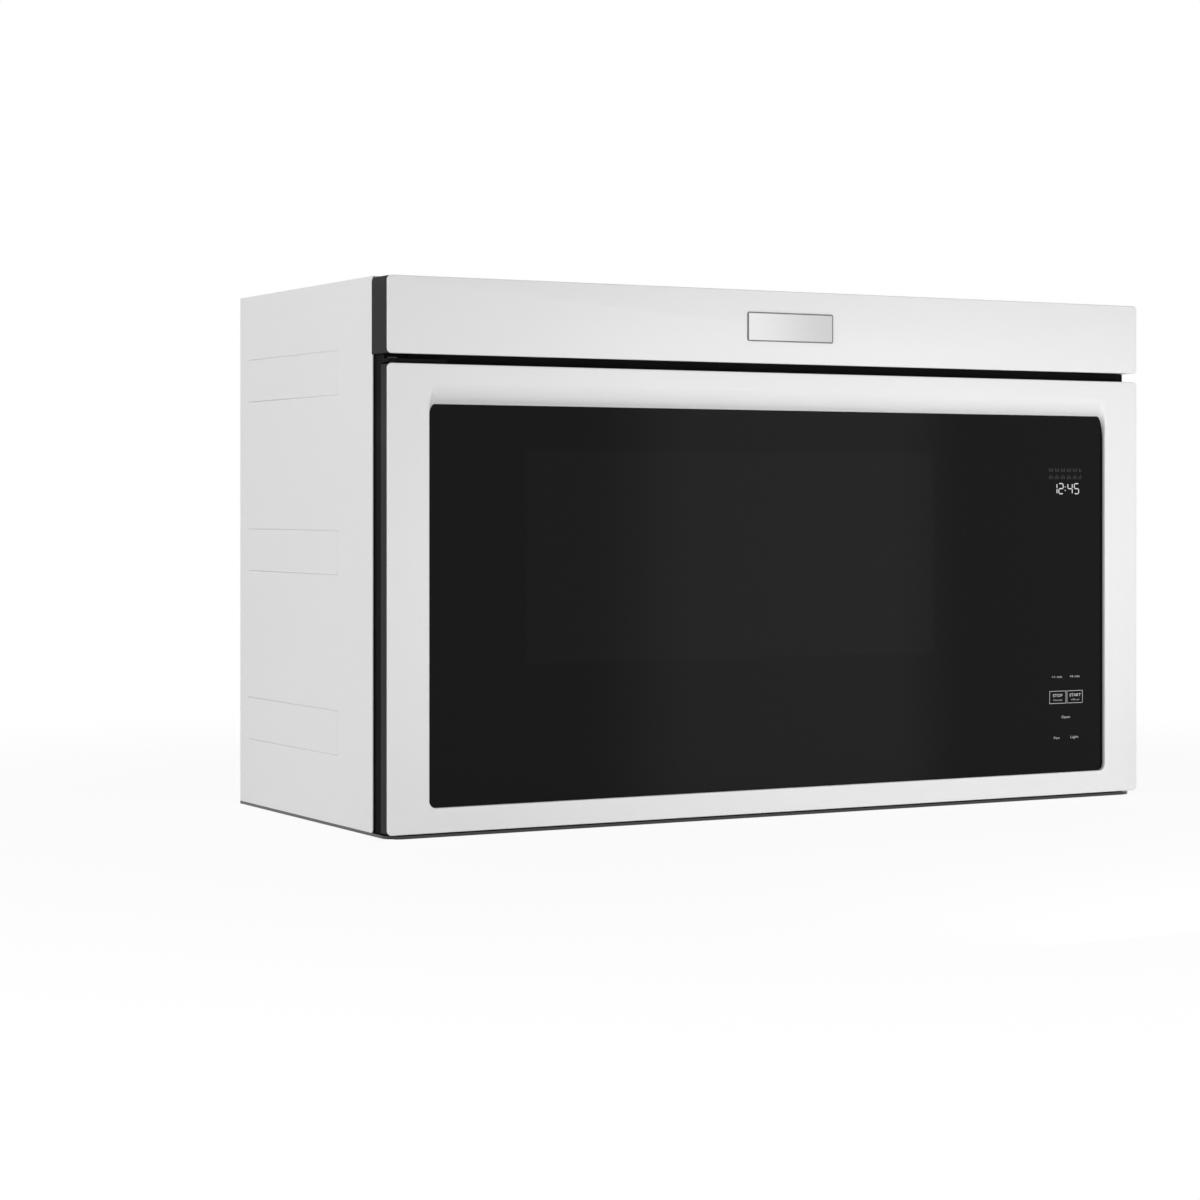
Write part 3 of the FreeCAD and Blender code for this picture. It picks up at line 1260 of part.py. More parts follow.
def inverter_board():
    """Inverter power supply: board, ferrite transformer, heatsink and a capacitor."""
    x0 = CAV_X1 + SHEET + 8.0
    x1 = INNER - SHELF_SIDE - 4.0
    depth0, depth1, z = shelf_place()
    depth0 += BOARD_MARGIN
    depth1 -= BOARD_MARGIN
    under = z + SHEET + BOARD_LIFT
    top = under + BOARD_THICK
    pieces = [block(x0, x1, depth0, depth1, under, top)]
    for x in (x0 + 4.0, x1 - 4.0):
        pieces.append(block(x - 3.0, x + 3.0, depth0, depth1, z + SHEET, under))
    coil_x = x0 + TRANSFORMER_RADIUS + 20.0
    coil_depth = depth0 + TRANSFORMER_RADIUS + 16.0
    half = TRANSFORMER_CORE / 2
    reach = TRANSFORMER_RADIUS + half
    pieces.append(sided_z(TRANSFORMER_RADIUS, coil_x, coil_depth, top, top + HEATSINK_HEIGHT, LARGE_SIDES))
    pieces.append(block(coil_x - half, coil_x + half, coil_depth - reach, coil_depth + reach, top,
                        top + HEATSINK_HEIGHT + 7.0))
    sink_x = x1 - 10.0 - HEATSINK_WIDTH
    high = top + HEATSINK_HEIGHT
    pieces.append(block(sink_x, sink_x + HEATSINK_WIDTH, depth1 - 40.0, depth1 - 34.0, top, high))
    for index in range(4):
        x = sink_x + (HEATSINK_WIDTH - 2.0) * index / 3
        pieces.append(block(x, x + 2.0, depth1 - 34.0, depth1 - 12.0, top, high))
    pieces.append(sided_z(11.0, x1 - 24.0, depth0 + 24.0, top, top + 28.4))
    return join(pieces)


def line_filter():
    """Mains filter board on posts beside the oven's right wall, under the gland."""
    x0 = CAV_X1 + SHEET
    face = x0 + BOARD_MARGIN + BOARD_THICK
    depth1 = CAV_REAR - 6.0
    depth0 = depth1 - FILTER_BOARD
    z1 = CAV_Z1 - 8.0
    z0 = z1 - FILTER_BOARD_HEIGHT
    board = block(face - BOARD_THICK, face, depth0, depth1, z0, z1)
    posts = [block(x0, face - BOARD_THICK, depth, depth + 6.0, z0, z1) for depth in (depth0, depth1 - 6.0)]
    tall = FILTER_CHOKE_RADIUS
    choke = sided_x(FILTER_CHOKE_RADIUS, depth0 + tall + 6.0, (z0 + z1) / 2, face, face + tall)
    capacitor = block(face, face + tall, depth1 - 20.0, depth1 - 10.0, z0 + 8.0, z1 - 8.0)
    return join([board, choke, capacitor] + posts)


def fan_place():
    """X, Z and depth of the cooling fan's middle."""
    return source_x(), CAV_Z0 + FAN_RADIUS + FAN_LIFT, CAV_REAR - FAN_REAR_GAP


def cooling_shroud():
    """Plate with a round throat across the right hand compartment, and spokes for the motor."""
    x, z, depth = fan_place()
    x0 = CAV_X1 + SHEET
    throat_radius = FAN_RADIUS + FAN_GAP
    reach = FAN_RADIUS + SHROUD_EDGE
    mouth = depth - FAN_WIDTH / 2 - 6.0
    front = depth + 2.0
    spoke_front = depth + SPOKE_DEPTH
    spoke_rear = spoke_front + SPOKE_THICK
    plate = panel((x0, INNER - 2.0, z - reach, z + reach), front, front + MOULDING)
    throat = sided_y(throat_radius + MOULDING, x, z, mouth, front, LARGE_SIDES)
    air = sided_y(throat_radius, x, z, mouth - 1, front + MOULDING + 1, LARGE_SIDES)
    tab = block(x0, x0 + MOULDING, mouth, front, z - reach, z + reach)
    half = SPOKE_WIDTH / 2
    outer = throat_radius + 4.0
    arms = []
    for turn in range(3):
        spoke = block(x - half, x + half, spoke_front, spoke_rear, z, z + outer)
        post = block(x - half, x + half, front, spoke_front, z + throat_radius + 0.2, z + outer)
        arm = spoke.fuse(post)
        arm.rotate(Vec(x, 0, z), Vec(0, 1, 0), 60.0 + 120.0 * turn)
        arms.append(arm)
    disc = sided_y(20.0, x, z, spoke_front, spoke_rear)
    hole = sided_y(FAN_SHAFT_RADIUS + 2.0, x, z, depth, spoke_rear + 1)
    return join([join([plate, throat]).cut(air), tab, disc] + arms).cut(hole)


def fan_motor():
    """Shaded-pole motor behind the shroud's spokes."""
    x, z, depth = fan_place()
    half = FAN_MOTOR_SIDE / 2
    front = depth + SPOKE_DEPTH + SPOKE_THICK
    stack = block(x - half, x + half, front + 3.0, front + 3.0 + FAN_MOTOR_DEPTH, z - half, z + half)
    coil = block(x - half - 12.0, x + half, front + 8.0, front + FAN_MOTOR_DEPTH - 2.0, z - half, z - 4.0)
    bell = sided_y(14.0, x, z, front, front + 3.0)
    bore = disc_y(FAN_SHAFT_RADIUS + FIT, x, z, front - 1, front + FAN_MOTOR_DEPTH - 4.0)
    return join([stack, coil, bell]).cut(bore)


def cooling_fan():
    """Four-bladed propeller with its shaft."""
    x, z, depth = fan_place()
    hub = sided_y(FAN_HUB_RADIUS, x, z, depth - FAN_WIDTH / 2, depth + FAN_WIDTH / 2)
    end = depth + SPOKE_DEPTH + SPOKE_THICK + FAN_MOTOR_DEPTH - 6.0
    shaft = disc_y(FAN_SHAFT_RADIUS, x, z, depth, end)
    blades = []
    for index in range(FAN_BLADES):
        root = z + FAN_HUB_RADIUS - 4.0
        vane = block(x - 15.0, x + 15.0, depth - 0.9, depth + 0.9, root, z + FAN_RADIUS - 3.0)
        vane.rotate(Vec(x, FRONT + depth, z), Vec(0, 0, 1), 24.0)
        vane.rotate(Vec(x, FRONT + depth, z), Vec(0, 1, 0), 360.0 / FAN_BLADES * index)
        blades.append(vane)
    return join([hub, shaft] + blades)


def cavity_lamp():
    """Lamp in its bracket on the oven's right wall, beside the air slots."""
    x0 = CAV_X1 + SHEET
    z = CAV_Z1 - 45.0
    depth = FACE_REAR + 26.0
    bracket = block(x0, x0 + 30.0, depth - 12.0, depth + 12.0, z - 14.0, z + 14.0)
    room = block(x0 - 1, x0 + 28.0, depth - 10.0, depth + 13.0, z - 12.0, z + 12.0)
    bulb = sided_x(7.0, depth, z, x0 + 4.0, x0 + 18.0)
    holder = sided_x(6.0, depth, z, x0 + 18.0, x0 + 29.0)
    return join([bracket.cut(room), bulb, holder])


# ---------------------------------------------------------------- hood blower
def blower_axis():
    """Depth and height of the blower's shaft, and the wheel's radius."""
    floor = CAV_Z1 + SHEET
    roof = HEIGHT - 2 * SHEET
    space = roof - floor - 2 * HOUSING_WALL - 1.0
    radius = (space - 2 * WHEEL_GAP - SCROLL_GROWTH) / 2
    height = floor + HOUSING_WALL + WHEEL_GAP + radius + SEAT_GAP
    return WALL - BLOWER_REAR_GAP, height, radius


def scroll_face(offset):
    """Side face of the scroll: a wheel case that widens towards the outlet, and the outlet duct."""
    depth, z, radius = blower_axis()
    small = radius + WHEEL_GAP + offset
    large = radius + WHEEL_GAP + SCROLL_GROWTH + offset
    mouth = FACE_REAR + SEAT_GAP
    middle = (small + large) / 2
    bottom = Vec(0, FRONT + depth, z - small)
    rear = Vec(0, FRONT + depth + middle, z)
    top = Vec(0, FRONT + depth, z + large)
    diagonal = math.sqrt(0.5)
    low_rear = (small + middle) / 2 * diagonal
    high_rear = (middle + large) / 2 * diagonal
    lower = Part.Arc(bottom, Vec(0, FRONT + depth + low_rear, z - low_rear), rear).toShape()
    upper = Part.Arc(rear, Vec(0, FRONT + depth + high_rear, z + high_rear), top).toShape()
    lip = Vec(0, FRONT + mouth, vent_rect()[3] + offset)
    sill = Vec(0, FRONT + mouth, vent_rect()[2] - offset)
    throat = Vec(0, FRONT + depth - small, z)
    low_front = small * diagonal
    front = Part.Arc(throat, Vec(0, FRONT + depth - low_front, z - low_front), bottom).toShape()
    edges = [lower, upper, Part.makeLine(top, lip), Part.makeLine(lip, sill), Part.makeLine(sill, throat), front]
    return Part.Face(Part.Wire(edges))


def scroll_solid(offset, x0, x1):
    face = scroll_face(offset)
    face.translate(Vec(x0, 0, 0))
    return face.extrude(Vec(x1 - x0, 0, 0))


def blower_half():
    return BLOWER_MOTOR_WIDTH / 2 + BLOWER_WHEEL_WIDTH + 5.0


def blower_housing():
    """Sheet scroll for both wheels with a round inlet at each end and a cradle for the motor."""
    depth, z, radius = blower_axis()
    half = blower_half()
    x0 = CAV_X - half
    x1 = CAV_X + half
    beyond = 2 * HOUSING_WALL
    inlets = sided_x(radius - BLADE_LENGTH, depth, z, x0 - beyond, x1 + beyond, LARGE_SIDES)
    mouth = block(x0, x1, FACE_REAR - 2, FACE_REAR + 2 * SEAT_GAP, vent_rect()[2], vent_rect()[3])
    shell = scroll_solid(HOUSING_WALL, x0 - HOUSING_WALL, x1 + HOUSING_WALL)
    shell = cut(shell, [scroll_solid(0.0, x0, x1), inlets, mouth])
    can = radius - BLOWER_MOTOR_STEP
    half = 0.75 * can
    cradle = block(CAV_X - 6.0, CAV_X + 6.0, depth - half, depth + half, CAV_Z1 + SHEET, z - 0.65 * can)
    cradle = cradle.cut(sided_x(can, depth, z, CAV_X - 7.0, CAV_X + 7.0, LARGE_SIDES))
    return join([shell, cradle])


def blower_motor():
    """Motor between the two wheels, with its mounting band."""
    depth, z, radius = blower_axis()
    half = BLOWER_MOTOR_WIDTH / 2 - 4.0
    can = sided_x(radius - BLOWER_MOTOR_STEP, depth, z, CAV_X - half, CAV_X + half, LARGE_SIDES)
    hubs = sided_x(HUB_RADIUS + 1.0, depth, z, CAV_X - half - 3.0, CAV_X + half + 3.0)
    bore = disc_x(BLOWER_SHAFT_RADIUS + FIT, depth, z, CAV_X - half - 4.0, CAV_X + half + 4.0)
    return join([can, hubs]).cut(bore)


def blower_shaft():
    depth, z, radius = blower_axis()
    half = BLOWER_MOTOR_WIDTH / 2 + HUB_LENGTH + 8.0
    return disc_x(BLOWER_SHAFT_RADIUS, depth, z, CAV_X - half, CAV_X + half)


def blade(radius, x0, x1):
    """One forward-bent blade between the wheel's inner and outer radius."""
    depth, z, _ = blower_axis()
    bends = ((radius - BLADE_LENGTH, 0.0), (radius - BLADE_LENGTH / 2, 0.03), (radius - 0.3, 0.13))
    front = []
    back = []
    for place, lean in bends:
        front.append((depth + place * math.cos(lean), z + place * math.sin(lean)))
        lean += BLADE_THICK / place
        back.insert(0, (depth + place * math.cos(lean), z + place * math.sin(lean)))
    return side_prism(front + back, x0, x1)


def blower_wheel(side):
    """Squirrel-cage wheel: hub disc at the motor, curved blades and an end ring."""
    depth, z, radius = blower_axis()
    near = BLOWER_MOTOR_WIDTH / 2
    far = near + BLOWER_WHEEL_WIDTH
    disc = sided_x(radius, depth, z, CAV_X + near, CAV_X + near + 1.5, WHEEL_SIDES)
    rim = sided_x(radius, depth, z, CAV_X + far - 3.0, CAV_X + far, WHEEL_SIDES)
    rim = rim.cut(sided_x(radius - BLADE_LENGTH + 5.0, depth, z, CAV_X + far - 4.0, CAV_X + far + 1, WHEEL_SIDES))
    hub = sided_x(HUB_RADIUS, depth, z, CAV_X + near, CAV_X + near + HUB_LENGTH)
    blades = []
    for index in range(BLOWER_BLADES):
        piece = blade(radius, CAV_X + near + 1.5, CAV_X + far - 3.0)
        piece.rotate(Vec(0, FRONT + depth, z), Vec(1, 0, 0), 360.0 / BLOWER_BLADES * index)
        blades.append(piece)
    wheel = disc.multiFuse([rim, hub] + blades)
    wheel = wheel.cut(disc_x(BLOWER_SHAFT_RADIUS, depth, z, CAV_X + near - 1, CAV_X + near + HUB_LENGTH + 1))
    if side < 0:
        wheel = wheel.mirror(Vec(CAV_X, 0, 0), Vec(1, 0, 0))
    return wheel


# ---------------------------------------------------------------- build
def build():
    save("left_side_panel", side_panel(-1))
    save("right_side_panel", side_panel(1))
    save("top_cover", top_cover())
    save("blower_plate", blower_plate())
    save("weld_nuts", weld_nuts())
    save("power_cord_gland", cord_gland())
    save("back_plate", back_plate())
    save("base_plate", base_plate())
    save("grease_filters", [grease_filter(place) for place in filter_places()])
    save("cooktop_lenses", cooktop_lenses())
    save("cooktop_housings", cooktop_housings())
    save("cooktop_led_boards", cooktop_leds())
    save("face_plate", face_plate())
    save("front_frame", front_frame())
    save("vent_panel", vent_panel())
    save("vent_carrier", vent_carrier())
    save("charcoal_filter", charcoal_filter())
    save("badge_plate", badge_plate())
    save("door_frame", door_frame())
    save("door_glass", door_glass())
    save("door_body", door_body())
    save("hinge_bushes", hinge_bushes())
    save("display_module", display_module())
    save("touch_board", touch_board())
    save("control_board", control_board())
    save("choke_plate", choke_plate())
    save("choke_cover", choke_cover())
    save("door_screen", door_screen())
    save("inner_window", inner_window())
    save("latch_hooks", latch_hooks())
    save("latch_spring", latch_spring())
    save("interlock_bracket", interlock_bracket())
    save("interlock_switches", interlock_switches())
    names = ("primary_plunger", "secondary_plunger", "monitor_plunger")
    for name, z in zip(names, switch_levels()):
        save(name, switch_plunger(z))
    save("release_solenoid", release_solenoid())
    save("release_plunger", release_plunger())
    save("upper_hinge", upper_hinge())
    save("hinge_pins", hinge_pins())
    save("oven_cavity", oven_cavity())
    save("oven_floor", oven_floor())
    save("ceramic_floor", ceramic_floor())
    save("waveguide", waveguide())
    save("stirrer_antenna", stirrer())
    save("stirrer_motor", stirrer_motor())
    save("magnetron_yoke", magnetron_yoke())
    save("magnetron_anode", magnetron_anode())
    save("component_bracket", component_bracket())
    save("inverter_board", inverter_board())
    save("line_filter_board", line_filter())
    save("cooling_shroud", cooling_shroud())
    save("cooling_fan_motor", fan_motor())
    save("cooling_fan", cooling_fan())
    save("cavity_lamp", cavity_lamp())
    save("blower_housing", blower_housing())
    save("blower_motor", blower_motor())
    save("blower_shaft", blower_shaft())
    save("blower_wheel_left", blower_wheel(-1))
    save("blower_wheel_right", blower_wheel(1))


build()
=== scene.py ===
"""Dressed over the range microwave: front, case, glass, legends and every finish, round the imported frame."""
import math

import bmesh
import bpy
from bpy.props import FloatProperty, FloatVectorProperty, PointerProperty
from mathutils import Matrix, Vector


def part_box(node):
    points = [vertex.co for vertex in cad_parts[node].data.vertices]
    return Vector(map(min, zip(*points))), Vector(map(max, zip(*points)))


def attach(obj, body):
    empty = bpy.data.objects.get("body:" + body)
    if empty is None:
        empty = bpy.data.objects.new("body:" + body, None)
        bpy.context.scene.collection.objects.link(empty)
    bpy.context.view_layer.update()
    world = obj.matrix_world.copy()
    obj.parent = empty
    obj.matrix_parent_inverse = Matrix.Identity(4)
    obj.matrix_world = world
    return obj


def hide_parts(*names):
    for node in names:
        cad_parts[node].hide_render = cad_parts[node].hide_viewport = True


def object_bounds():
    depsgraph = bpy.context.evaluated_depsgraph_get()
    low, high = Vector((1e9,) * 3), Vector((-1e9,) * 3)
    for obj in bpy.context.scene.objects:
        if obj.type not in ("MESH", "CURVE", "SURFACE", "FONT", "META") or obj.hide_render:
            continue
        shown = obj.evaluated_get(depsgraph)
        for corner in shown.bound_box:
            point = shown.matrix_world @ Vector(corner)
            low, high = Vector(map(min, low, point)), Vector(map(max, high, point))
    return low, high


bl_info = {
    "name": "Over the range microwave",
    "version": (1, 0, 0),
    "blender": (4, 5, 0),
    "location": "View3D > Sidebar > Microwave",
    "description": "Builds the visible pieces and finishes of a flush-fronted over the range microwave",
    "category": "Object",
}

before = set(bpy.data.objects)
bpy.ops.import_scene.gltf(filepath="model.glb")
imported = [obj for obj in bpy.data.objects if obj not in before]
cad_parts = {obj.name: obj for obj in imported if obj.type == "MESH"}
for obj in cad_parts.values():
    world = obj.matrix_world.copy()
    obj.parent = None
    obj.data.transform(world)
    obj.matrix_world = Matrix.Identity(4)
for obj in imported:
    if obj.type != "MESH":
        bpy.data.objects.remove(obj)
CAD_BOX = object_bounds()

MM = 0.001
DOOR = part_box("door_frame")
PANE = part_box("door_glass")
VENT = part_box("vent_panel")
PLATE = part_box("badge_plate")
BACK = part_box("back_plate")
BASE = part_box("base_plate")
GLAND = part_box("power_cord_gland")
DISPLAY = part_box("display_module")
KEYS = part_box("touch_board")
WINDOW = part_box("inner_window")
FACE = DOOR[0].y                    # front plane of door and vent panel
GLASS_FACE = PANE[0].y

SMOOTH_ANGLE = math.radians(32)     # edges that turn more than this stay crisp
EASE_ANGLE = math.radians(40)       # edges that turn more than this are eased
RIM_ANGLE = math.radians(50)        # edges of a front face that turn more than this are rounded
SLACK = 0.01 * MM                   # how far a point may lie off a plane that it belongs to
MERGE = 0.001 * MM                  # points closer than this are one point
CORNER_STEPS = 6                    # faces round a corner of a front sheet
CASE_CORNER = 3.0 * MM              # lower front corner of the case sides
PANE_CORNER = 5.0 * MM              # corners of the whole glass, hidden behind the frame
PAD_COUNT = 3
SEAT = 1.5 * MM                     # the beads that the case screws sit in are this deep


# ---- mesh helpers
def card(bm, x, y, z):
    """One upright rectangle: y and z, or x and z, are (low, high) pairs and the third is its plane."""
    if isinstance(x, tuple):
        places = [(x[0], y, z[0]), (x[1], y, z[0]), (x[1], y, z[1]), (x[0], y, z[1])]
    else:
        places = [(x, y[0], z[0]), (x, y[1], z[0]), (x, y[1], z[1]), (x, y[0], z[1])]
    return bm.faces.new([bm.verts.new(place) for place in places])


def brick(bm, x, y, z):
    """A box between pairs of limits; returns its edges."""
    size = Vector((x[1] - x[0], y[1] - y[0], z[1] - z[0]))
    middle = Vector((x[1] + x[0], y[1] + y[0], z[1] + z[0])) / 2
    verts = bmesh.ops.create_cube(bm, size=1.0)["verts"]
    bmesh.ops.scale(bm, vec=size, verts=verts)
    bmesh.ops.translate(bm, vec=middle, verts=verts)
    return list({edge for vert in verts for edge in vert.link_edges})


def refit(face, x, y, z):
    """Moves a rectangle's corners to new limits in an upright plane."""
    middle = face.calc_center_median()
    for vert in face.verts:
        vert.co = Vector((x[vert.co.x > middle.x], y, z[vert.co.z > middle.z]))


def edges_where(bm, test):
    """Edges whose two ends both pass a test on their place."""
    return [edge for edge in bm.edges if all(test(vert.co) for vert in edge.verts)]


def deep(edges):
    """Those of the edges that run mostly from front to back."""
    runs = [(edge, edge.verts[0].co - edge.verts[1].co) for edge in edges]
    return [edge for edge, run in runs if abs(run.y) > 0.7 * run.length]


def round_off(bm, edges, width, segments=4, affect="EDGES"):
    """Rounds edges, or vertices of a flat sheet."""
    bmesh.ops.bevel(bm, geom=edges, offset=width, segments=segments, profile=0.5, affect=affect, material=-1,
                    clamp_overlap=True)


def turn_back(bm, edges, shift):
    """Extrudes boundary edges and moves the new edge."""
    made = bmesh.ops.extrude_edge_only(bm, edges=edges)["geom"]
    bmesh.ops.translate(bm, vec=shift, verts=[part for part in made if isinstance(part, bmesh.types.BMVert)])


def settle(bm):
    """Merges doubles and points every face outwards."""
    bmesh.ops.remove_doubles(bm, verts=bm.verts[:], dist=MERGE)
    bmesh.ops.recalc_face_normals(bm, faces=bm.faces[:])


def stand(name, data):
    """Puts a new object into the scene."""
    thing = bpy.data.objects.new(name, data)
    bpy.context.scene.collection.objects.link(thing)
    return thing


def piece(bm, name, body, finish, replaces=(), thickness=0.0, edge=0.0, towards=None):
    """Makes the finished object: its wall, its fine edges, its finish and the body it rides on."""
    if towards is not None:
        settle(bm)
        pull = sum((face.normal * face.calc_area() for face in bm.faces), Vector())
        if pull.dot(Vector(towards)) < 0:
            bmesh.ops.reverse_faces(bm, faces=bm.faces[:])
    mesh = bpy.data.meshes.new(name)
    bm.to_mesh(mesh)
    bm.free()
    mesh.polygons.foreach_set("use_smooth", [True] * len(mesh.polygons))
    mesh.set_sharp_from_angle(angle=SMOOTH_ANGLE)
    mesh.materials.append(finish)
    thing = stand(name, mesh)
    if thickness:
        wall = thing.modifiers.new("wall", "SOLIDIFY")
        wall.thickness = thickness
        wall.offset = -1.0
        wall.use_even_offset = True
    if edge:
        rim = thing.modifiers.new("rim", "BEVEL")
        rim.width = edge
        rim.segments = 2
        rim.limit_method = "ANGLE"
        rim.angle_limit = EASE_ANGLE
        rim.harden_normals = True
    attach(thing, body)
    if replaces:
        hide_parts(*replaces)
    return thing


# ---- shader helpers
class Tone:
    """An output of a shader node that can stand in a sum."""

    def __init__(self, graph, socket):
        self.graph = graph
        self.socket = socket

    def math(self, operation, *others):
        return self.graph.node("ShaderNodeMath", {"operation": operation}, [self, *others])

    def __add__(self, other):
        return self.math("ADD", other)

    def __sub__(self, other):
        return self.math("SUBTRACT", other)

    def __rsub__(self, other):
        return self.graph.node("ShaderNodeMath", {"operation": "SUBTRACT"}, [other, self])

    def __mul__(self, other):
        return self.math("MULTIPLY", other)

    def __truediv__(self, other):
        return self.math("DIVIDE", other)

    def __pow__(self, other):
        return self.math("POWER", other)

    def __gt__(self, other):
        return self.math("GREATER_THAN", other)

    def __lt__(self, other):
        return self.math("LESS_THAN", other)

    def __abs__(self):
        return self.math("ABSOLUTE")

    __radd__ = __add__
    __rmul__ = __mul__

    def cell(self, pitch):
        """Place inside a repeating cell, from -0.5 to 0.5."""
        return (self / pitch).math("FRACT") - 0.5

    def between(self, low, high):
        """1 between two values, 0 outside."""
        return (self > low) * (self < high)

    def ramp(self, low, high):
        """0 below low, 1 above high, and a smooth rise between."""
        return self.graph.node("ShaderNodeMapRange", {"interpolation_type": "SMOOTHSTEP"}, [self, low, high])


class Graph:
    """A node tree that expressions fill."""

    def __init__(self, tree):
        self.tree = tree
        tree.nodes.clear()

    def node(self, kind, settings, values, output=0):
        """Adds a node: its settings first, then values or links for its sockets in order or by name."""
        made = self.tree.nodes.new(kind)
        for words, value in settings.items():
            setattr(made, words, value)
        pairs = values.items() if isinstance(values, dict) else enumerate(values)
        for key, value in pairs:
            self.feed(made.inputs[key], value)
        return Tone(self, made.outputs[output])

    def feed(self, socket, value):
        """Links a tone to a socket, or sets a plain value on it."""
        if isinstance(value, Tone):
            self.tree.links.new(value.socket, socket)
        else:
            socket.default_value = value

    def seen(self):
        """1 for the rays of the camera, of gloss and of clear glass."""
        camera, gloss, clear = [self.node("ShaderNodeLightPath", {}, [], f"Is {kind} Ray")
                                for kind in ("Camera", "Glossy", "Transmission")]
        return camera.math("MAXIMUM", gloss).math("MAXIMUM", clear)


class Finish(Graph):
    """One material: a principled shader and the nodes that feed it."""

    def __init__(self, name, **fixed):
        self.material = bpy.data.materials.new(name)
        self.material.use_nodes = True
        super().__init__(self.material.node_tree)
        self.shader = self.tree.nodes.new("ShaderNodeBsdfPrincipled")
        self.output = self.tree.nodes.new("ShaderNodeOutputMaterial")
        self.tree.links.new(self.shader.outputs[0], self.output.inputs["Surface"])
        for words, value in fixed.items():
            self.set(words.replace("_", " "), value)
        self.place = self.node("ShaderNodeTexCoord", {}, [], "Object")

    def axes(self):
        """X, Y and Z of the place, in metres."""
        return [self.node("ShaderNodeSeparateXYZ", {}, [self.place], axis) for axis in "XYZ"]

    def stretched(self, scale):
        """The place scaled by a different amount along each axis."""
        return self.node("ShaderNodeMapping", {}, {"Vector": self.place, "Scale": scale})

    def noise(self, scale, detail=2.0, place=None, rough=0.5):
        """Cloudy noise from 0 to 1."""
        return self.node("ShaderNodeTexNoise", {}, {"Vector": place or self.place, "Scale": scale,
                                                    "Detail": detail, "Roughness": rough}, "Fac")

    def cells(self, scale, feature="F1", output="Distance", place=None):
        """Scattered cells: the distance to their middles, or a colour for each."""
        return self.node("ShaderNodeTexVoronoi", {"feature": feature},
                         {"Vector": place or self.place, "Scale": scale}, output)

    def mix(self, share, first, second):
        """A colour between two colours."""
        pair = [colour if isinstance(colour, Tone) else opaque(colour) for colour in (first, second)]
        return self.node("ShaderNodeMix", {"data_type": "RGBA"}, {0: share, 6: pair[0], 7: pair[1]}, 2)

    def set(self, words, value):
        """Feeds a socket of the principled shader."""
        self.feed(self.shader.inputs[words], value)

    def done(self, colour, roughness, height=None, depth=0.0):
        """Feeds the shader and gives the material; a height of 0 to 1 is relief of a depth in metres."""
        self.set("Base Color", colour)
        self.set("Roughness", roughness)
        if height is not None:
            relief = {"Strength": 1.0, "Distance": depth, "Height": height}
            self.set("Normal", self.node("ShaderNodeBump", {}, relief))
        return self.material


def opaque(colour):
    return (*colour[:3], 1.0)


def tint(colour, factor):
    """A lighter or darker version of a colour."""
    return tuple(min(1.0, part * factor) for part in colour[:3])


# ---- finishes
def baked_enamel(name, colour, gloss):
    """Sprayed and baked enamel: faint orange peel and a slow drift of tone."""
    coat = Finish(name, Coat_Weight=0.35, Coat_Roughness=0.12)
    peel = coat.noise(520.0, 2.0)
    drift = coat.noise(5.0, 3.0)
    return coat.done(coat.mix(drift, tint(colour, 0.975), tint(colour, 1.015)),
                     gloss + peel * 0.05 + drift * 0.04, peel, 0.012 * MM)


def grained_moulding(name, colour, sheen):
    """Injection moulding with a spark-eroded grain, rubbed a little paler in places."""
    resin = Finish(name, Specular_IOR_Level=sheen)
    grain = resin.cells(1400.0, "SMOOTH_F1") + resin.noise(2600.0, 2.0) * 0.6
    rub = resin.noise(14.0, 4.0).ramp(0.45, 0.8)
    return resin.done(resin.mix(rub, colour, tint(colour, 1.35)),
                      0.42 + grain * 0.1 - rub * 0.06, grain, 0.02 * MM)


def smooth_resin(name, colour):
    """Plain polished resin for small mouldings, with flow marks."""
    resin = Finish(name)
    flow = resin.noise(90.0, 3.0, resin.stretched((1.0, 1.0, 0.3)))
    return resin.done(resin.mix(flow, tint(colour, 0.93), tint(colour, 1.03)),
                      0.32 + flow * 0.12, flow, 0.01 * MM)


def printed_glass(name):
    """Black back-printed glass: the window's land a shade paler as printed, a painted reflection band across
    the middle paler still, smears in the gloss.
    """
    pane = Finish(name, IOR=1.5, Specular_IOR_Level=0.1)
    x, _, z = pane.axes()
    soft = 1.5 * MM

    def inside(place, low, high):
        return place.ramp(low - soft, low + soft) * (1 - place.ramp(high - soft, high + soft))
    window = inside(x, WINDOW[0].x, WINDOW[1].x) * inside(z, WINDOW[0].z, WINDOW[1].z)
    # a soft pale band across the middle of the glass: a painted reflection
    painted_reflection_band = x.ramp(-205 * MM, -85 * MM) * (1 - x.ramp(105 * MM, 195 * MM))
    smear = pane.noise(9.0, 4.0, pane.stretched((1.0, 1.0, 2.6)), 0.6).ramp(0.5, 0.85)
    dust = pane.noise(900.0, 1.0).ramp(0.68, 0.8)
    # the ink is paler in the window's land as printed, and paler across the middle band as a painted
    # reflection
    ink = pane.mix(window * 0.2 + painted_reflection_band * 0.8, (0.003, 0.003, 0.0031), (0.0115, 0.0115, 0.0118))
    return pane.done(pane.mix(dust * 0.02, ink, (0.3, 0.3, 0.3)), 0.025 + smear * 0.05)


def clear_glass(name):
    """Clear pane with a trace of green and faint water marks."""
    pane = Finish(name, IOR=1.5, Transmission_Weight=1.0)
    marks = pane.noise(40.0, 4.0).ramp(0.55, 0.8)
    colour = (0.93, 0.95, 0.95)
    return pane.done(pane.mix(marks * 0.2, colour, tint(colour, 0.9)), 0.02 + marks * 0.05)


def prismatic_lens(name):
    """Lamp lens moulded with small square prisms."""
    lens = Finish(name, IOR=1.49, Transmission_Weight=0.55)
    x, y, _ = lens.axes()
    prisms = abs(x.cell(4.0 * MM)) + abs(y.cell(4.0 * MM))
    return lens.done(lens.mix(prisms, (0.9, 0.9, 0.86), (0.72, 0.73, 0.7)),
                     0.15 + prisms * 0.1, prisms, 0.8 * MM)


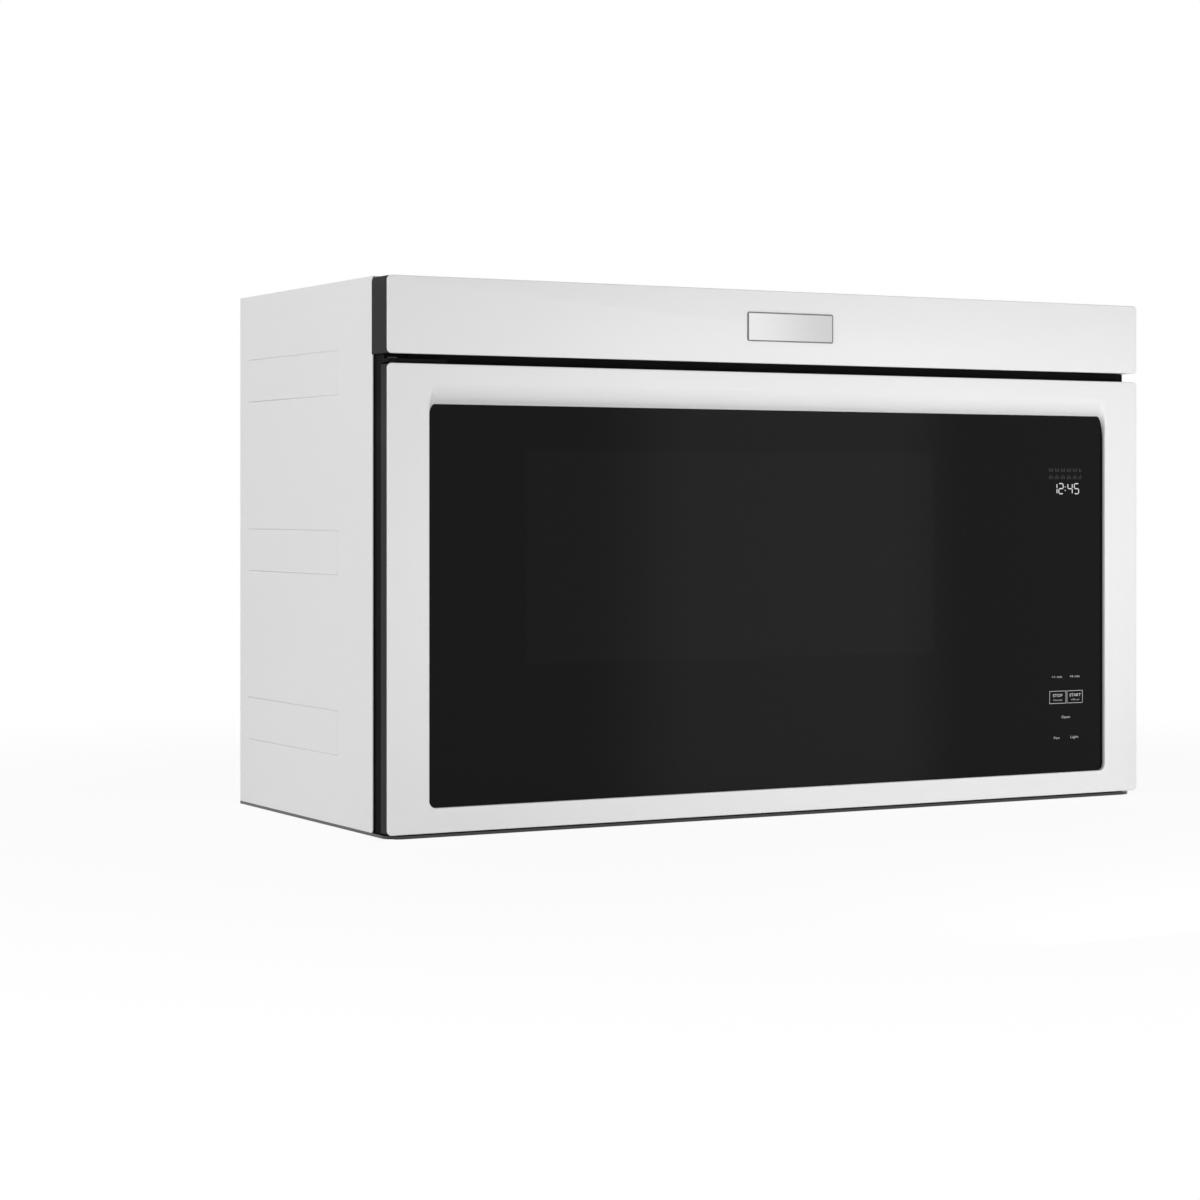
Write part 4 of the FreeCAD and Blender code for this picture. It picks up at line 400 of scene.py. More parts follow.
def zinc_sheet(name):
    """Hot-dipped sheet with crystals of spangle and a dull bloom."""
    sheet = Finish(name, Metallic=1.0)
    spangle = sheet.cells(120.0, "F1", "Color")
    crystal = sheet.node("ShaderNodeSeparateColor", {}, [spangle])
    colour = (0.56, 0.57, 0.58)
    bloom = sheet.noise(11.0, 5.0, rough=0.65)
    return sheet.done(sheet.mix(crystal * 0.4 + bloom * 0.5, tint(colour, 0.82), tint(colour, 1.12)),
                      0.32 + crystal * 0.1 + bloom * 0.16, crystal, 0.01 * MM)


def brushed_metal(name, colour, stretch, gloss=0.26):
    """Metal with fine brush lines along the short side of the stretch."""
    metal = Finish(name, Metallic=1.0)
    lines = metal.noise(1.0, 3.0, metal.stretched(stretch), 0.7)
    cloud = metal.noise(25.0, 2.0)
    return metal.done(metal.mix(lines, tint(colour, 0.78), tint(colour, 1.1)),
                      gloss + lines * 0.14 + cloud * 0.05, lines, 0.008 * MM)


def speckled_enamel(name, colour, painted=1.0):
    """Oven enamel: grey, finely specked and glassy; black beyond a distance each side."""
    coat = Finish(name, Coat_Weight=0.5, Coat_Roughness=0.08)
    pale = coat.cells(900.0).ramp(0.28, 0.12)
    dark = coat.cells(640.0, place=coat.stretched((1.1, 0.9, 1.2))).ramp(0.24, 0.1)
    wave = coat.noise(30.0, 3.0)
    ground = coat.mix(wave, tint(colour, 0.94), tint(colour, 1.05))
    specked = coat.mix(dark * 0.5, coat.mix(pale * 0.45, ground, tint(colour, 1.6)), tint(colour, 0.3))
    return coat.done(coat.mix(abs(coat.axes()[0]) > painted, specked, (0.008, 0.008, 0.008)),
                     0.34 + wave * 0.08, wave, 0.03 * MM)


def filter_mesh(name, low, high, ring, gap):
    """Grease filters: expanded mesh in a plain rolled frame, one filter each side of the middle, with painted
    shade in the gaps and on the finer mesh.
    """
    metal = Finish(name, Metallic=1.0)
    x, y, _ = metal.axes()
    inside = abs(x).between(gap + ring, high.x - ring) * y.between(low.y + ring, high.y - ring)
    pitch = 5.0 * MM
    slant = abs((x + y * 1.6).cell(pitch))
    other = abs((x - y * 1.6).cell(pitch))
    strand = slant.math("MAXIMUM", other).ramp(0.3, 0.46)
    fine = abs((x + y).cell(2.3 * MM)).math("MAXIMUM", abs((x - y).cell(2.3 * MM))).ramp(0.3, 0.45)
    layers = strand.math("MAXIMUM", fine * 0.45)
    tone = inside * layers + (1 - inside)
    rolled = metal.noise(1.0, 2.0, metal.stretched((30.0, 900.0, 900.0)))
    bare = metal.mix(rolled, (0.6, 0.61, 0.62), (0.74, 0.75, 0.76))
    # the gaps are near black and the finer mesh shows at under half its tone: painted shade inside the filter
    return metal.done(metal.mix(tone, (0.05, 0.05, 0.05), bare),
                      0.3 + (1 - tone) * 0.4 + rolled * 0.08, tone, 0.8 * MM)


def perforated_screen(name):
    """Black enamelled sheet with staggered round holes, the holes painted pure black as painted shade seen
    through them.
    """
    sheet = Finish(name, Coat_Weight=0.2)
    x, _, z = sheet.axes()
    pitch = 2.6 * MM

    def holes(shift):
        across = (x + shift).cell(pitch)
        up = (z + shift).cell(pitch)
        return (across * across + up * up) ** 0.5
    nearest = holes(0.0).math("MINIMUM", holes(pitch / 2))
    web = nearest.ramp(0.2, 0.26)
    dull = sheet.noise(60.0, 2.0)
    black = sheet.mix(dull, (0.03, 0.03, 0.031), (0.045, 0.045, 0.046))
    # the holes are painted pure black: painted shade of the dark space behind the sheet
    return sheet.done(sheet.mix(web, (0.0, 0.0, 0.0), black),
                      0.42 + dull * 0.1, web, 0.3 * MM)


def circuit_board(name, plane, axis, facing):
    """Green board with copper runs; what stands proud of it is dark cased parts with grey bands."""
    board = Finish(name)
    places = board.axes()
    height = (places[axis] - plane) * facing
    parts = height > 0.1 * MM
    copper = abs(board.cells(130.0).cell(0.28)).ramp(0.38, 0.44)
    weave = board.noise(700.0, 1.0)
    mask = board.mix(copper, (0.012, 0.075, 0.03), (0.03, 0.15, 0.06))
    casing = board.mix(board.cells(45.0, "F1", "Color"), (0.02, 0.02, 0.022), (0.16, 0.16, 0.17))
    return board.done(board.mix(parts, mask, casing),
                      0.34 + weave * 0.12 + parts * 0.12, copper, 0.035 * MM)


def glass_ceramic(name):
    """Ivory glass-ceramic floor with a fine fleck."""
    stone = Finish(name, Coat_Weight=0.6, Coat_Roughness=0.06)
    fleck = stone.cells(420.0).ramp(0.3, 0.1)
    cloud = stone.noise(18.0, 5.0)
    ground = stone.mix(cloud, (0.62, 0.6, 0.54), (0.7, 0.69, 0.64))
    return stone.done(stone.mix(fleck * 0.4, ground, (0.42, 0.4, 0.36)),
                      0.22 + cloud * 0.08, cloud, 0.02 * MM)


def carbon_granules(name):
    """Loose charcoal between pleats, darker between the granules as painted shade."""
    carbon = Finish(name)
    grain = carbon.cells(420.0)
    spark = carbon.noise(900.0, 2.0).ramp(0.6, 0.8)
    # paler at each granule's middle, darker in the gaps between granules: painted shade
    return carbon.done(carbon.mix(grain, (0.035, 0.035, 0.037), (0.008, 0.008, 0.008)),
                       0.85 - spark * 0.5, 1 - grain, 1.2 * MM)


def laminated_steel(name, axis):
    """Stacked laminations of a motor or a choke, with a blued edge."""
    steel = Finish(name, Metallic=1.0)
    line = steel.axes()[axis]
    stack = abs(line.cell(1.0 * MM)).ramp(0.36, 0.48)
    heat = steel.noise(35.0, 3.0)
    ground = steel.mix(heat, (0.42, 0.43, 0.46), (0.56, 0.56, 0.57))
    return steel.done(steel.mix(stack, ground, (0.12, 0.12, 0.13)),
                      0.36 + heat * 0.14, 1 - stack, 0.12 * MM)


def copper_fins(name, low, high):
    """Copper anode in the middle, bare aluminium fins outside it."""
    metal = Finish(name, Metallic=1.0)
    x, y, _ = metal.axes()
    across = x - (low.x + high.x) / 2
    deep = y - (low.y + high.y) / 2
    reach = (across * across + deep * deep) ** 0.5
    core = reach < 28.0 * MM
    tarnish = metal.noise(60.0, 4.0)
    fin = metal.mix(tarnish, (0.66, 0.67, 0.68), (0.75, 0.76, 0.77))
    copper = metal.mix(tarnish, (0.55, 0.27, 0.16), (0.7, 0.38, 0.24))
    return metal.done(metal.mix(core, fin, copper),
                      0.28 + tarnish * 0.2, tarnish, 0.02 * MM)


def plate_metal(name, low, high, rim):
    """Bare brushed plate, paler towards one end as a painted reflection, with a darkened rim."""
    metal = Finish(name, Metallic=1.0)
    x, _, z = metal.axes()
    lines = metal.noise(1.0, 3.0, metal.stretched((12.0, 60.0, 1400.0)), 0.7)
    inside = x.between(low.x + rim, high.x - rim) * z.between(low.z + rim, high.z - rim)
    # paler at the low end along x and darker at the high end: a painted reflection gradient
    ground = metal.mix(x.ramp(low.x, high.x), (0.9, 0.9, 0.9), (0.68, 0.68, 0.69))
    brushed = metal.mix(lines * 0.25, ground, (0.55, 0.55, 0.56))
    return metal.done(metal.mix(inside, (0.2, 0.2, 0.205), brushed),
                      0.28 + lines * 0.14, lines, 0.008 * MM)


def screen_ink(name, colour, glow):
    """Printed or lit marking, a little uneven like screened ink."""
    ink = Finish(name, Emission_Strength=glow)
    speck = ink.noise(2600.0, 1.0)
    tone = ink.mix(speck, tint(colour, 0.9), colour)
    ink.set("Emission Color", tone)
    return ink.done(tone, 0.4 + speck * 0.2)


# ---- sizes and colours the user can change
class MicrowaveSizes(bpy.types.PropertyGroup):
    """Sizes of the dressed pieces, in metres."""

    skin: FloatProperty(
        name="Front sheet", description="Thickness of the painted front sheets",
        default=1.2 * MM, min=0.5 * MM, unit="LENGTH")
    case_sheet: FloatProperty(
        name="Case sheet", description="Thickness of the case sides",
        default=1.0 * MM, min=0.4 * MM, unit="LENGTH")
    lip: FloatProperty(
        name="Turned edge", description="How far the front sheets turn back",
        default=2.2 * MM, min=1.0 * MM, unit="LENGTH")
    sheet_corner: FloatProperty(
        name="Sheet corner", description="Corner radius of the front sheets",
        default=4.0 * MM, min=0.5 * MM, unit="LENGTH")
    sheet_round: FloatProperty(
        name="Sheet edge", description="Radius of the turned edges",
        default=1.1 * MM, min=0.2 * MM, unit="LENGTH")
    glass_corner: FloatProperty(
        name="Glass corner", description="Corner radius of the visible glass",
        default=6.0 * MM, min=0.5 * MM, unit="LENGTH")
    glass_overlap: FloatProperty(
        name="Glass overlap", description="Glass hidden behind the frame",
        default=6.0 * MM, min=0.0, unit="LENGTH")
    scoop: FloatProperty(
        name="Finger scoop", description="Height of the sloped strip over the glass",
        default=16.0 * MM, min=1.0 * MM, unit="LENGTH")
    pad_rise: FloatProperty(
        name="Pad rise", description="Height of the step of the side pads",
        default=1.6 * MM, min=0.1 * MM, unit="LENGTH")
    pad_groove: FloatProperty(
        name="Pad groove", description="Width and depth of the pads' shut line",
        default=0.6 * MM, min=0.1 * MM, unit="LENGTH")
    pad_lowest: FloatProperty(
        name="Lowest pad", description="Height of the lowest pad's middle",
        default=78.5 * MM, unit="LENGTH")
    pad_pitch: FloatProperty(
        name="Pad pitch", description="Spacing of the three side pads",
        default=150.0 * MM, unit="LENGTH")
    pad_height: FloatProperty(
        name="Pad height", description="Height of a side pad",
        default=38.0 * MM, unit="LENGTH")
    pad_length: FloatProperty(
        name="Pad length", description="Length of a side pad's ramp",
        default=199.0 * MM, unit="LENGTH")
    pad_rear: FloatProperty(
        name="Pad from wall", description="From the pad's step to the wall",
        default=20.9 * MM, unit="LENGTH")
    print_depth: FloatProperty(
        name="Print", description="Thickness of the printed legends",
        default=0.05 * MM, unit="LENGTH")
    digit_height: FloatProperty(
        name="Digit height", description="Height of the clock's digits",
        default=9.2 * MM, unit="LENGTH")
    screw_radius: FloatProperty(
        name="Screw head", description="Radius of a case screw's head",
        default=4.0 * MM, unit="LENGTH")
    camera_lens: FloatProperty(
        name="Lens", description="Focal length of the camera in millimetres",
        default=85.12, min=20.0)
    camera_turn: FloatProperty(
        name="Camera turn", description="Camera's turn from the front",
        default=0.502, subtype="ANGLE")


class MicrowaveColours(bpy.types.PropertyGroup):
    """Colours of the visible finishes."""

    enamel: FloatVectorProperty(
        name="Enamel", description="White case and door enamel",
        default=(0.83, 0.83, 0.83), size=3, subtype="COLOR", min=0.0, max=1.0)
    moulding: FloatVectorProperty(
        name="Mouldings", description="Black mouldings round the door",
        default=(0.032, 0.032, 0.0325), size=3, subtype="COLOR", min=0.0, max=1.0)
    door_edge: FloatVectorProperty(
        name="Door body", description="Dark grey moulded door body",
        default=(0.024, 0.024, 0.0243), size=3, subtype="COLOR", min=0.0, max=1.0)
    oven: FloatVectorProperty(
        name="Oven enamel", description="Grey enamel of the oven",
        default=(0.3, 0.31, 0.32), size=3, subtype="COLOR", min=0.0, max=1.0)
    legend: FloatVectorProperty(
        name="Legends", description="Ink of the key legends",
        default=(0.42, 0.42, 0.42), size=3, subtype="COLOR", min=0.0, max=1.0)
    digits: FloatVectorProperty(
        name="Digits", description="Light of the clock's digits",
        default=(0.48, 0.49, 0.5), size=3, subtype="COLOR", min=0.0, max=1.0)


def sizes():
    return bpy.context.scene.microwave_sizes


def colours():
    return bpy.context.scene.microwave_colours


def finish(name, build, *values):
    """A finish by name, made the first time it is asked for."""
    return bpy.data.materials.get(name) or build(name, *values)


def white_enamel():
    return finish("white_enamel", baked_enamel, tuple(colours().enamel), 0.3)


def black_moulding():
    return finish("grained_black", grained_moulding, tuple(colours().moulding), 0.03)


def grey_moulding():
    return finish("door_moulding", grained_moulding, tuple(colours().door_edge), 0.05)


def painted_shade_moulding():
    # the moulding at three tenths of its colour: painted shade for the recess behind the door
    return finish("recess_black", grained_moulding, tint(colours().moulding, 0.3), 0.02)


def black_enamel():
    return finish("black_enamel", baked_enamel, (0.012, 0.012, 0.0125), 0.34)


# ---- pieces
def sheet_outline(bm, low, high):
    """Front sheet: its face, and edges turned back all round."""
    front = card(bm, (low.x, high.x), FACE, (low.z, high.z))
    turn_back(bm, front.edges[:], (0, sizes().lip, 0))
    return front


def round_front_rim(bm):
    """Rounds the edge between the front face and its turned-back edge."""
    def on_rim(edge):
        if len(edge.link_faces) != 2 or any(abs(vert.co.y - FACE) > SLACK for vert in edge.verts):
            return False
        return edge.calc_face_angle() > RIM_ANGLE
    round_off(bm, [edge for edge in bm.edges if on_rim(edge)], sizes().sheet_round)


def build_door_surround():
    """White pressed door frame with the sloped strip over the glass."""
    size = sizes()
    low, high = DOOR
    overlap = size.glass_overlap
    x = (PANE[0].x + overlap, PANE[1].x - overlap)
    z = (PANE[0].z + overlap, PANE[1].z - overlap)
    bm = bmesh.new()
    opening = sheet_outline(bm, low, high)
    bmesh.ops.inset_individual(bm, faces=[opening], thickness=10 * MM)
    refit(opening, x, FACE, (z[0], z[1] + size.scoop))
    floor = bmesh.ops.extrude_discrete_faces(bm, faces=[opening])["faces"][0]
    refit(floor, x, GLASS_FACE, z)
    bmesh.ops.delete(bm, geom=[floor], context="FACES_ONLY")
    settle(bm)
    outer = [edge for edge in deep(bm.edges) if abs(edge.verts[0].co.x) > high.x - MM]
    round_off(bm, outer, size.sheet_corner, CORNER_STEPS)
    inner = [edge for edge in bm.edges if abs(edge.verts[0].co.y - edge.verts[1].co.y) > MM
             and all(abs(vert.co.x) < x[1] + MM for vert in edge.verts)]
    round_off(bm, inner, size.glass_corner, CORNER_STEPS)
    round_front_rim(bm)
    surround = piece(bm, "door_surround", "door", white_enamel(), ("door_frame",),
                     thickness=size.skin, towards=(0, -1, 0))
    crisp_opening(surround.data, low, high)
    return surround


def crisp_opening(mesh, low, high):
    """Keeps the edge crisp where the opening leaves the front face, and the sheet's own rim soft."""
    rim = 5 * MM

    def on_edge(place):
        return (abs(place.y - FACE) < SLACK and abs(place.x) < high.x - rim
                and low.z + rim < place.z < high.z - rim)
    for edge in mesh.edges:
        if all(on_edge(mesh.vertices[index].co) for index in edge.vertices):
            edge.use_edge_sharp = True


def build_vent_face():
    """White front sheet of the vent panel."""
    size = sizes()
    bm = bmesh.new()
    sheet_outline(bm, *VENT)
    settle(bm)
    round_off(bm, deep(bm.edges), size.sheet_corner, CORNER_STEPS)
    round_front_rim(bm)
    return piece(bm, "vent_face", "case", white_enamel(), ("vent_panel",),
                 thickness=size.skin, towards=(0, -1, 0))


def build_side_sheet(node, sign):
    """Pressed case side with ramp pads that rise towards the wall, each in a thin groove."""
    size = sizes()
    low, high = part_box(node)
    outer = (high.x if sign > 0 else low.x) - sign * size.pad_rise
    step = high.y - size.pad_rear
    start = step - size.pad_length
    half = size.pad_height / 2
    middles = [size.pad_lowest + index * size.pad_pitch for index in range(PAD_COUNT)]
    bm = bmesh.new()
    card(bm, outer, (low.y, high.y), (low.z, high.z))
    planes = [((0, y, 0), (0, 1, 0)) for y in (start, step)]
    planes += [((0, 0, middle + shift), (0, 0, 1)) for middle in middles for shift in (-half, half)]
    for point, normal in planes:
        every = bm.verts[:] + bm.edges[:] + bm.faces[:]
        bmesh.ops.bisect_plane(bm, geom=every, plane_co=point, plane_no=normal)

    def on_pad(face):
        spot = face.calc_center_median()
        return start < spot.y < step and any(abs(spot.z - middle) < half for middle in middles)
    pads = [face for face in bm.faces if on_pad(face)]
    bmesh.ops.inset_individual(bm, faces=pads, thickness=size.pad_groove)
    for pad in pads:
        middle = pad.calc_center_median()
        for vert in pad.verts:
            # the groove is full at the rear, shallower at the lower front and fades out at the upper front
            share = 1.0 if vert.co.y > middle.y else 0.5 if vert.co.z < middle.z else 0.0
            vert.co.x = outer - sign * size.pad_groove * share
    bmesh.ops.inset_individual(bm, faces=pads, thickness=size.pad_groove)
    for pad in pads:
        for vert in pad.verts:
            share = (vert.co.y - start) / (step - start)
            vert.co.x = outer + sign * size.pad_rise * (0.1 + 0.9 * share)
    settle(bm)
    corner = [vert for vert in bm.verts if vert.co.y < low.y + MM and vert.co.z < low.z + MM]
    round_off(bm, corner, CASE_CORNER, 5, "VERTICES")
    name = "left_case_side" if sign < 0 else "right_case_side"
    return piece(bm, name, "case", white_enamel(), (node,), thickness=size.case_sheet,
                 edge=0.35 * MM, towards=(sign, 0, 0))


def build_door_pane():
    """Black glass with ground edges."""
    bm = bmesh.new()
    round_off(bm, deep(brick(bm, *zip(*PANE))), PANE_CORNER, CORNER_STEPS)
    glass = finish("printed_glass", printed_glass)
    return piece(bm, "door_pane", "door", glass, ("door_glass",), edge=0.4 * MM)


def build_bare_plate():
    """Blank plate in a raised rim on the vent panel."""
    bm = bmesh.new()
    round_off(bm, deep(brick(bm, *zip(*PLATE))), 1.5 * MM, 5)
    front = min(bm.faces, key=lambda each: each.calc_center_median().y)
    bmesh.ops.inset_individual(bm, faces=[front], thickness=1.1 * MM, depth=0.0)
    bmesh.ops.inset_individual(bm, faces=[front], thickness=0.35 * MM, depth=-0.35 * MM)
    settle(bm)
    metal = finish("plate_metal", plate_metal, *PLATE, 1.0 * MM)
    return piece(bm, "bare_plate", "case", metal, ("badge_plate",), edge=0.15 * MM)


def build_gland():
    """Turned cord gland: a flange under the top cover's hole, a neck through it and a rounded mouth."""
    low, high = GLAND
    middle = (low + high) / 2
    reach = (high.x - low.x) / 2
    bore = 5.0 * MM
    neck = 11.0 * MM
    flange = 2.0 * MM
    outline = [(bore, low.z), (reach, low.z), (reach, low.z + flange), (neck, low.z + flange + MM),
               (neck, high.z - MM), (neck - MM, high.z), (bore + MM, high.z), (bore, high.z - MM)]
    bm = bmesh.new()
    ring = [bm.verts.new((middle.x + radius, middle.y, z)) for radius, z in outline]
    edges = [bm.edges.new((ring[index - 1], ring[index])) for index in range(len(ring))]
    bmesh.ops.spin(bm, geom=ring + edges, cent=(middle.x, middle.y, 0), axis=(0, 0, 1), angle=2 * math.pi,
                   steps=48, use_merge=True)
    settle(bm)
    return piece(bm, "cord_gland", "case", black_moulding(), ("power_cord_gland",))


def build_eased(node, body, coat, width, corner=None, radius=0.0):
    """A merged copy of a carried-over solid with its edges eased, standing for it."""
    bm = bmesh.new()
    bm.from_mesh(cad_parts[node].data)
    settle(bm)
    bmesh.ops.dissolve_limit(bm, angle_limit=math.radians(1), verts=bm.verts[:], edges=bm.edges[:])
    if corner:
        round_off(bm, edges_where(bm, corner), radius, 5)
    return piece(bm, node + "_eased", body, coat, (node,), edge=width)


def build_mouldings():
    """Mouldings and base pan that show at the front, with their edges eased."""
    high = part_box("vent_carrier")[1]

    def top_rear(place):
        return place.y > high.y - 0.1 * MM and place.z > high.z - 0.1 * MM
    build_eased("vent_carrier", "case", black_moulding(), 0.4 * MM, top_rear, 3.5 * MM)
    # the front frame takes the darkened moulding as painted shade in its recess
    build_eased("front_frame", "case", painted_shade_moulding(), 0.3 * MM)
    build_eased("door_body", "door", grey_moulding(), 0.4 * MM)
    build_eased("base_plate", "case", black_enamel(), 0.25 * MM)


SEGMENTS = {                        # middle across and up, as shares of a digit, and whether it lies level
    "top": (0.0, 1.0, True), "middle": (0.0, 0.5, True), "bottom": (0.0, 0.0, True),
    "upper_left": (-0.5, 0.75, False), "upper_right": (0.5, 0.75, False),
    "lower_left": (-0.5, 0.25, False), "lower_right": (0.5, 0.25, False),
}
DIGITS = {                          # place in mm from the display's side, and the segments that are lit
    11.2: ("upper_right", "lower_right"),
    18.3: ("top", "upper_right", "middle", "lower_left", "bottom"),
    28.7: ("upper_left", "upper_right", "middle", "lower_right"),
    36.1: ("top", "upper_left", "middle", "lower_right", "bottom"),
}
COLON = 23.1                        # place in mm from the display's side
CLOCK_RISE = 8.7 * MM               # foot of the digits over the display's lower edge
ICON_PITCH = (1.72, 6.6)            # mm from cell to cell, across and up
LEGENDS = (                         # words, height, width, middle and foot in mm on the touch board
    ("+1 min", 2.0, 11.5, 23.6, 62.4), ("+5 min", 2.0, 11.4, 43.9, 62.4),
    ("STOP", 2.6, 11.0, 24.4, 45.0), ("Cancel", 1.5, 10.0, 24.4, 41.4),
    ("START", 2.6, 12.9, 44.5, 45.0), ("+30 sec", 1.5, 9.8, 44.5, 41.4),
    ("Open", 2.3, 9.6, 33.7, 25.3), ("Fan", 2.1, 6.4, 23.4, 6.5), ("Light", 2.2, 9.0, 43.6, 6.7),
)
FRAMED_KEYS = ((15.1, 34.1), (35.0, 53.2))
FRAME_HEIGHT = (38.8, 50.4)
BACK_SCREWS = ((306, 102), (0.36, 0.64))        # mm each side of the middle, and shares of the height
BASE_SCREWS = ((355, -100), (355, 20), (355, 140), (20, -120))


def print_layer():
    """Limits in depth of what is printed on the glass."""
    return GLASS_FACE - sizes().print_depth, GLASS_FACE


def build_clock_digits():
    """Seven-segment clock behind the glass, with its colon."""
    tall = sizes().digit_height
    wide = tall * 0.54
    stroke = tall * 0.1
    left = DISPLAY[0].x
    base = DISPLAY[0].z + CLOCK_RISE
    thin = (-stroke / 2, stroke / 2)
    bm = bmesh.new()

    def mark(spot, x, z, corner, steps):
        edges = brick(bm, (spot[0] + x[0], spot[0] + x[1]), print_layer(), (spot[1] + z[0], spot[1] + z[1]))
        round_off(bm, deep(edges), corner, steps)
    for place, lit in DIGITS.items():
        for name in lit:
            across, up, level = SEGMENTS[name]
            half = (wide if level else tall / 2) / 2 - stroke * 0.35
            spot = (left + place * MM + wide * across, base + tall * up)
            x, z = ((-half, half), thin) if level else (thin, (-half, half))
            mark(spot, x, z, stroke * 0.42, 1)
    for up in (0.32, 0.68):
        mark((left + COLON * MM, base + tall * up), thin, thin, stroke * 0.3, 2)
    glow = finish("lit_digits", screen_ink, tuple(colours().digits), 0.6)
    return piece(bm, "clock_digits", "door", glow)


def outline(bm, x, z, stroke):
    """Printed rectangle."""
    y = print_layer()
    for foot in (z[0], z[1] - stroke):
        brick(bm, x, y, (foot, foot + stroke))
    for side in (x[0], x[1] - stroke):
        brick(bm, (side, side + stroke), y, (z[0] + stroke, z[1] - stroke))


def lettering(bm, words, tall, wide, x, z, thick=0.0):
    """Adds plain words to a mesh, centred on x with their feet at z, drawn out to a width."""
    curve = bpy.data.curves.new("words", "FONT")
    curve.body = words
    curve.size = tall / 0.7
    curve.align_x = "CENTER"
    curve.extrude = sizes().print_depth / 2
    curve.resolution_u = 3
    curve.offset = thick
    thing = stand("words", curve)
    bpy.context.view_layer.update()
    mesh = bpy.data.meshes.new_from_object(thing.evaluated_get(bpy.context.evaluated_depsgraph_get()))
    across = [vert.co.x for vert in mesh.vertices]
    draw_out = Matrix.Diagonal((wide / (max(across) - min(across)), 1, 1, 1))
    upright = Matrix.Rotation(math.pi / 2, 4, "X")
    place = Matrix.Translation((x, GLASS_FACE - sizes().print_depth / 2, z))
    mesh.transform(place @ upright @ draw_out)
    bm.from_mesh(mesh)
    bpy.data.objects.remove(thing)
    bpy.data.curves.remove(curve)
    bpy.data.meshes.remove(mesh)


def build_key_legends():
    """Legends of the touch keys, printed in grey with a faint painted glow, the words in capitals a little
    bolder.
    """
    bm = bmesh.new()
    left = KEYS[0].x
    base = KEYS[0].z
    for words, tall, wide, x, z in LEGENDS:
        thick = 0.05 * MM if words.isupper() else 0.0
        lettering(bm, words, tall * MM, wide * MM, left + x * MM, base + z * MM, thick)
    height = [base + z * MM for z in FRAME_HEIGHT]
    for sides in FRAMED_KEYS:
        outline(bm, [left + x * MM for x in sides], height, 0.45 * MM)
    # the printed ink glows at a quarter strength: painted light, since print is no lamp
    ink = finish("legend_ink", screen_ink, tuple(colours().legend), 0.25)
    return piece(bm, "key_legends", "door", ink)


def build_unlit_icons():
    """Two rows of unlit indicator cells above the clock, each a few short strokes."""
    bm = bmesh.new()
    left = DISPLAY[0].x + 4.4 * MM
    base = DISPLAY[0].z + 22.0 * MM
    for column in range(22):
        for row, tall in enumerate((4.0, 3.4)):
            x = left + ICON_PITCH[0] * column * MM
            z = base + ICON_PITCH[1] * row * MM
            height = tall if (column + row) % 2 else tall * 0.7
            if column % 4 != 3:
                brick(bm, (x, x + 1.1 * MM), print_layer(), (z, z + height * MM))
    ink = finish("unlit_ink", screen_ink, (0.0048, 0.0048, 0.005), 0.0)
    return piece(bm, "unlit_icons", "door", ink)


def screw_head(bm, place, normal, radius, height):
    """Pan head with a round drive recess, standing on a face."""
    cone = bmesh.ops.create_cone(bm, cap_ends=True, segments=20, radius1=radius, radius2=radius * 0.86,
                                 depth=height)
    verts = cone["verts"]
    faces = {face for vert in verts for face in vert.link_faces}
    top = max(faces, key=lambda each: each.calc_center_median().z)
    bmesh.ops.inset_individual(bm, faces=[top], thickness=radius * 0.42)
    bmesh.ops.inset_individual(bm, faces=[top], thickness=radius * 0.06, depth=-height * 0.6)
    every = [vert for vert in bm.verts if not vert.tag]
    turn = Vector((0, 0, 1)).rotation_difference(Vector(normal)).to_matrix().to_4x4()
    move = Matrix.Translation(Vector(place) + Vector(normal) * height / 2) @ turn
    bmesh.ops.transform(bm, matrix=move, verts=every)
    for vert in every:
        vert.tag = True


def build_screws(name, spots, normal):
    """One group of like screws of the case."""
    radius = sizes().screw_radius
    bm = bmesh.new()
    for spot in spots:
        screw_head(bm, spot, normal, radius, 0.35 * radius)
    steel = finish("screw_steel", brushed_metal, (0.5, 0.5, 0.51), (900.0, 900.0, 300.0))
    return piece(bm, name, "case", steel)


# ---- stage
def ground_finish(name):
    """Pale floor that reads as white to the camera, wholly so far off, and keeps the part's shadow."""
    ground = Finish(name, Roughness=0.7)
    ground.set("Base Color", ground.mix(ground.noise(3.0), (0.9, 0.9, 0.9), (0.92, 0.92, 0.92)))
    x, y, _ = ground.axes()
    away = ((x * x + y * y) ** 0.5).ramp(0.5, 1.3)
    shaded = Tone(ground, ground.shader.outputs[0])
    glow = ground.node("ShaderNodeEmission", {}, [])
    both = ground.node("ShaderNodeMixShader", {}, [ground.seen() * (0.92 + away * 0.08), shaded, glow])
    ground.feed(ground.output.inputs["Surface"], both)
    return ground.material


def build_floor():
    bm = bmesh.new()
    bmesh.ops.create_circle(bm, cap_ends=True, segments=64, radius=12.0)
    mesh = bpy.data.meshes.new("floor")
    bm.to_mesh(mesh)
    bm.free()
    mesh.materials.append(finish("pale_floor", ground_finish))
    stand("floor", mesh)


def build_sky():
    """Even pale light; the camera, gloss and glass see plain white."""
    world = bpy.data.worlds.new("studio")
    bpy.context.scene.world = world
    world.use_nodes = True
    sky = Graph(world.node_tree)
    soft, plain = [sky.node("ShaderNodeBackground", {}, [(1, 1, 1, 1), power]) for power in (DOME, 1.0)]
    both = sky.node("ShaderNodeMixShader", {}, [sky.seen(), soft, plain])
    sky.feed(sky.tree.nodes.new("ShaderNodeOutputWorld").inputs["Surface"], both)


def build_lamp(name, place, aim, width, power):
    """Square soft light, not seen in the gloss."""
    lamp = bpy.data.lights.new(name, "AREA")
    lamp.size = width
    lamp.energy = power
    thing = stand(name, lamp)
    thing.location = place
    thing.rotation_euler = (Vector(aim) - Vector(place)).to_track_quat("-Z", "Y").to_euler()
    thing.visible_camera = False
    thing.visible_glossy = False


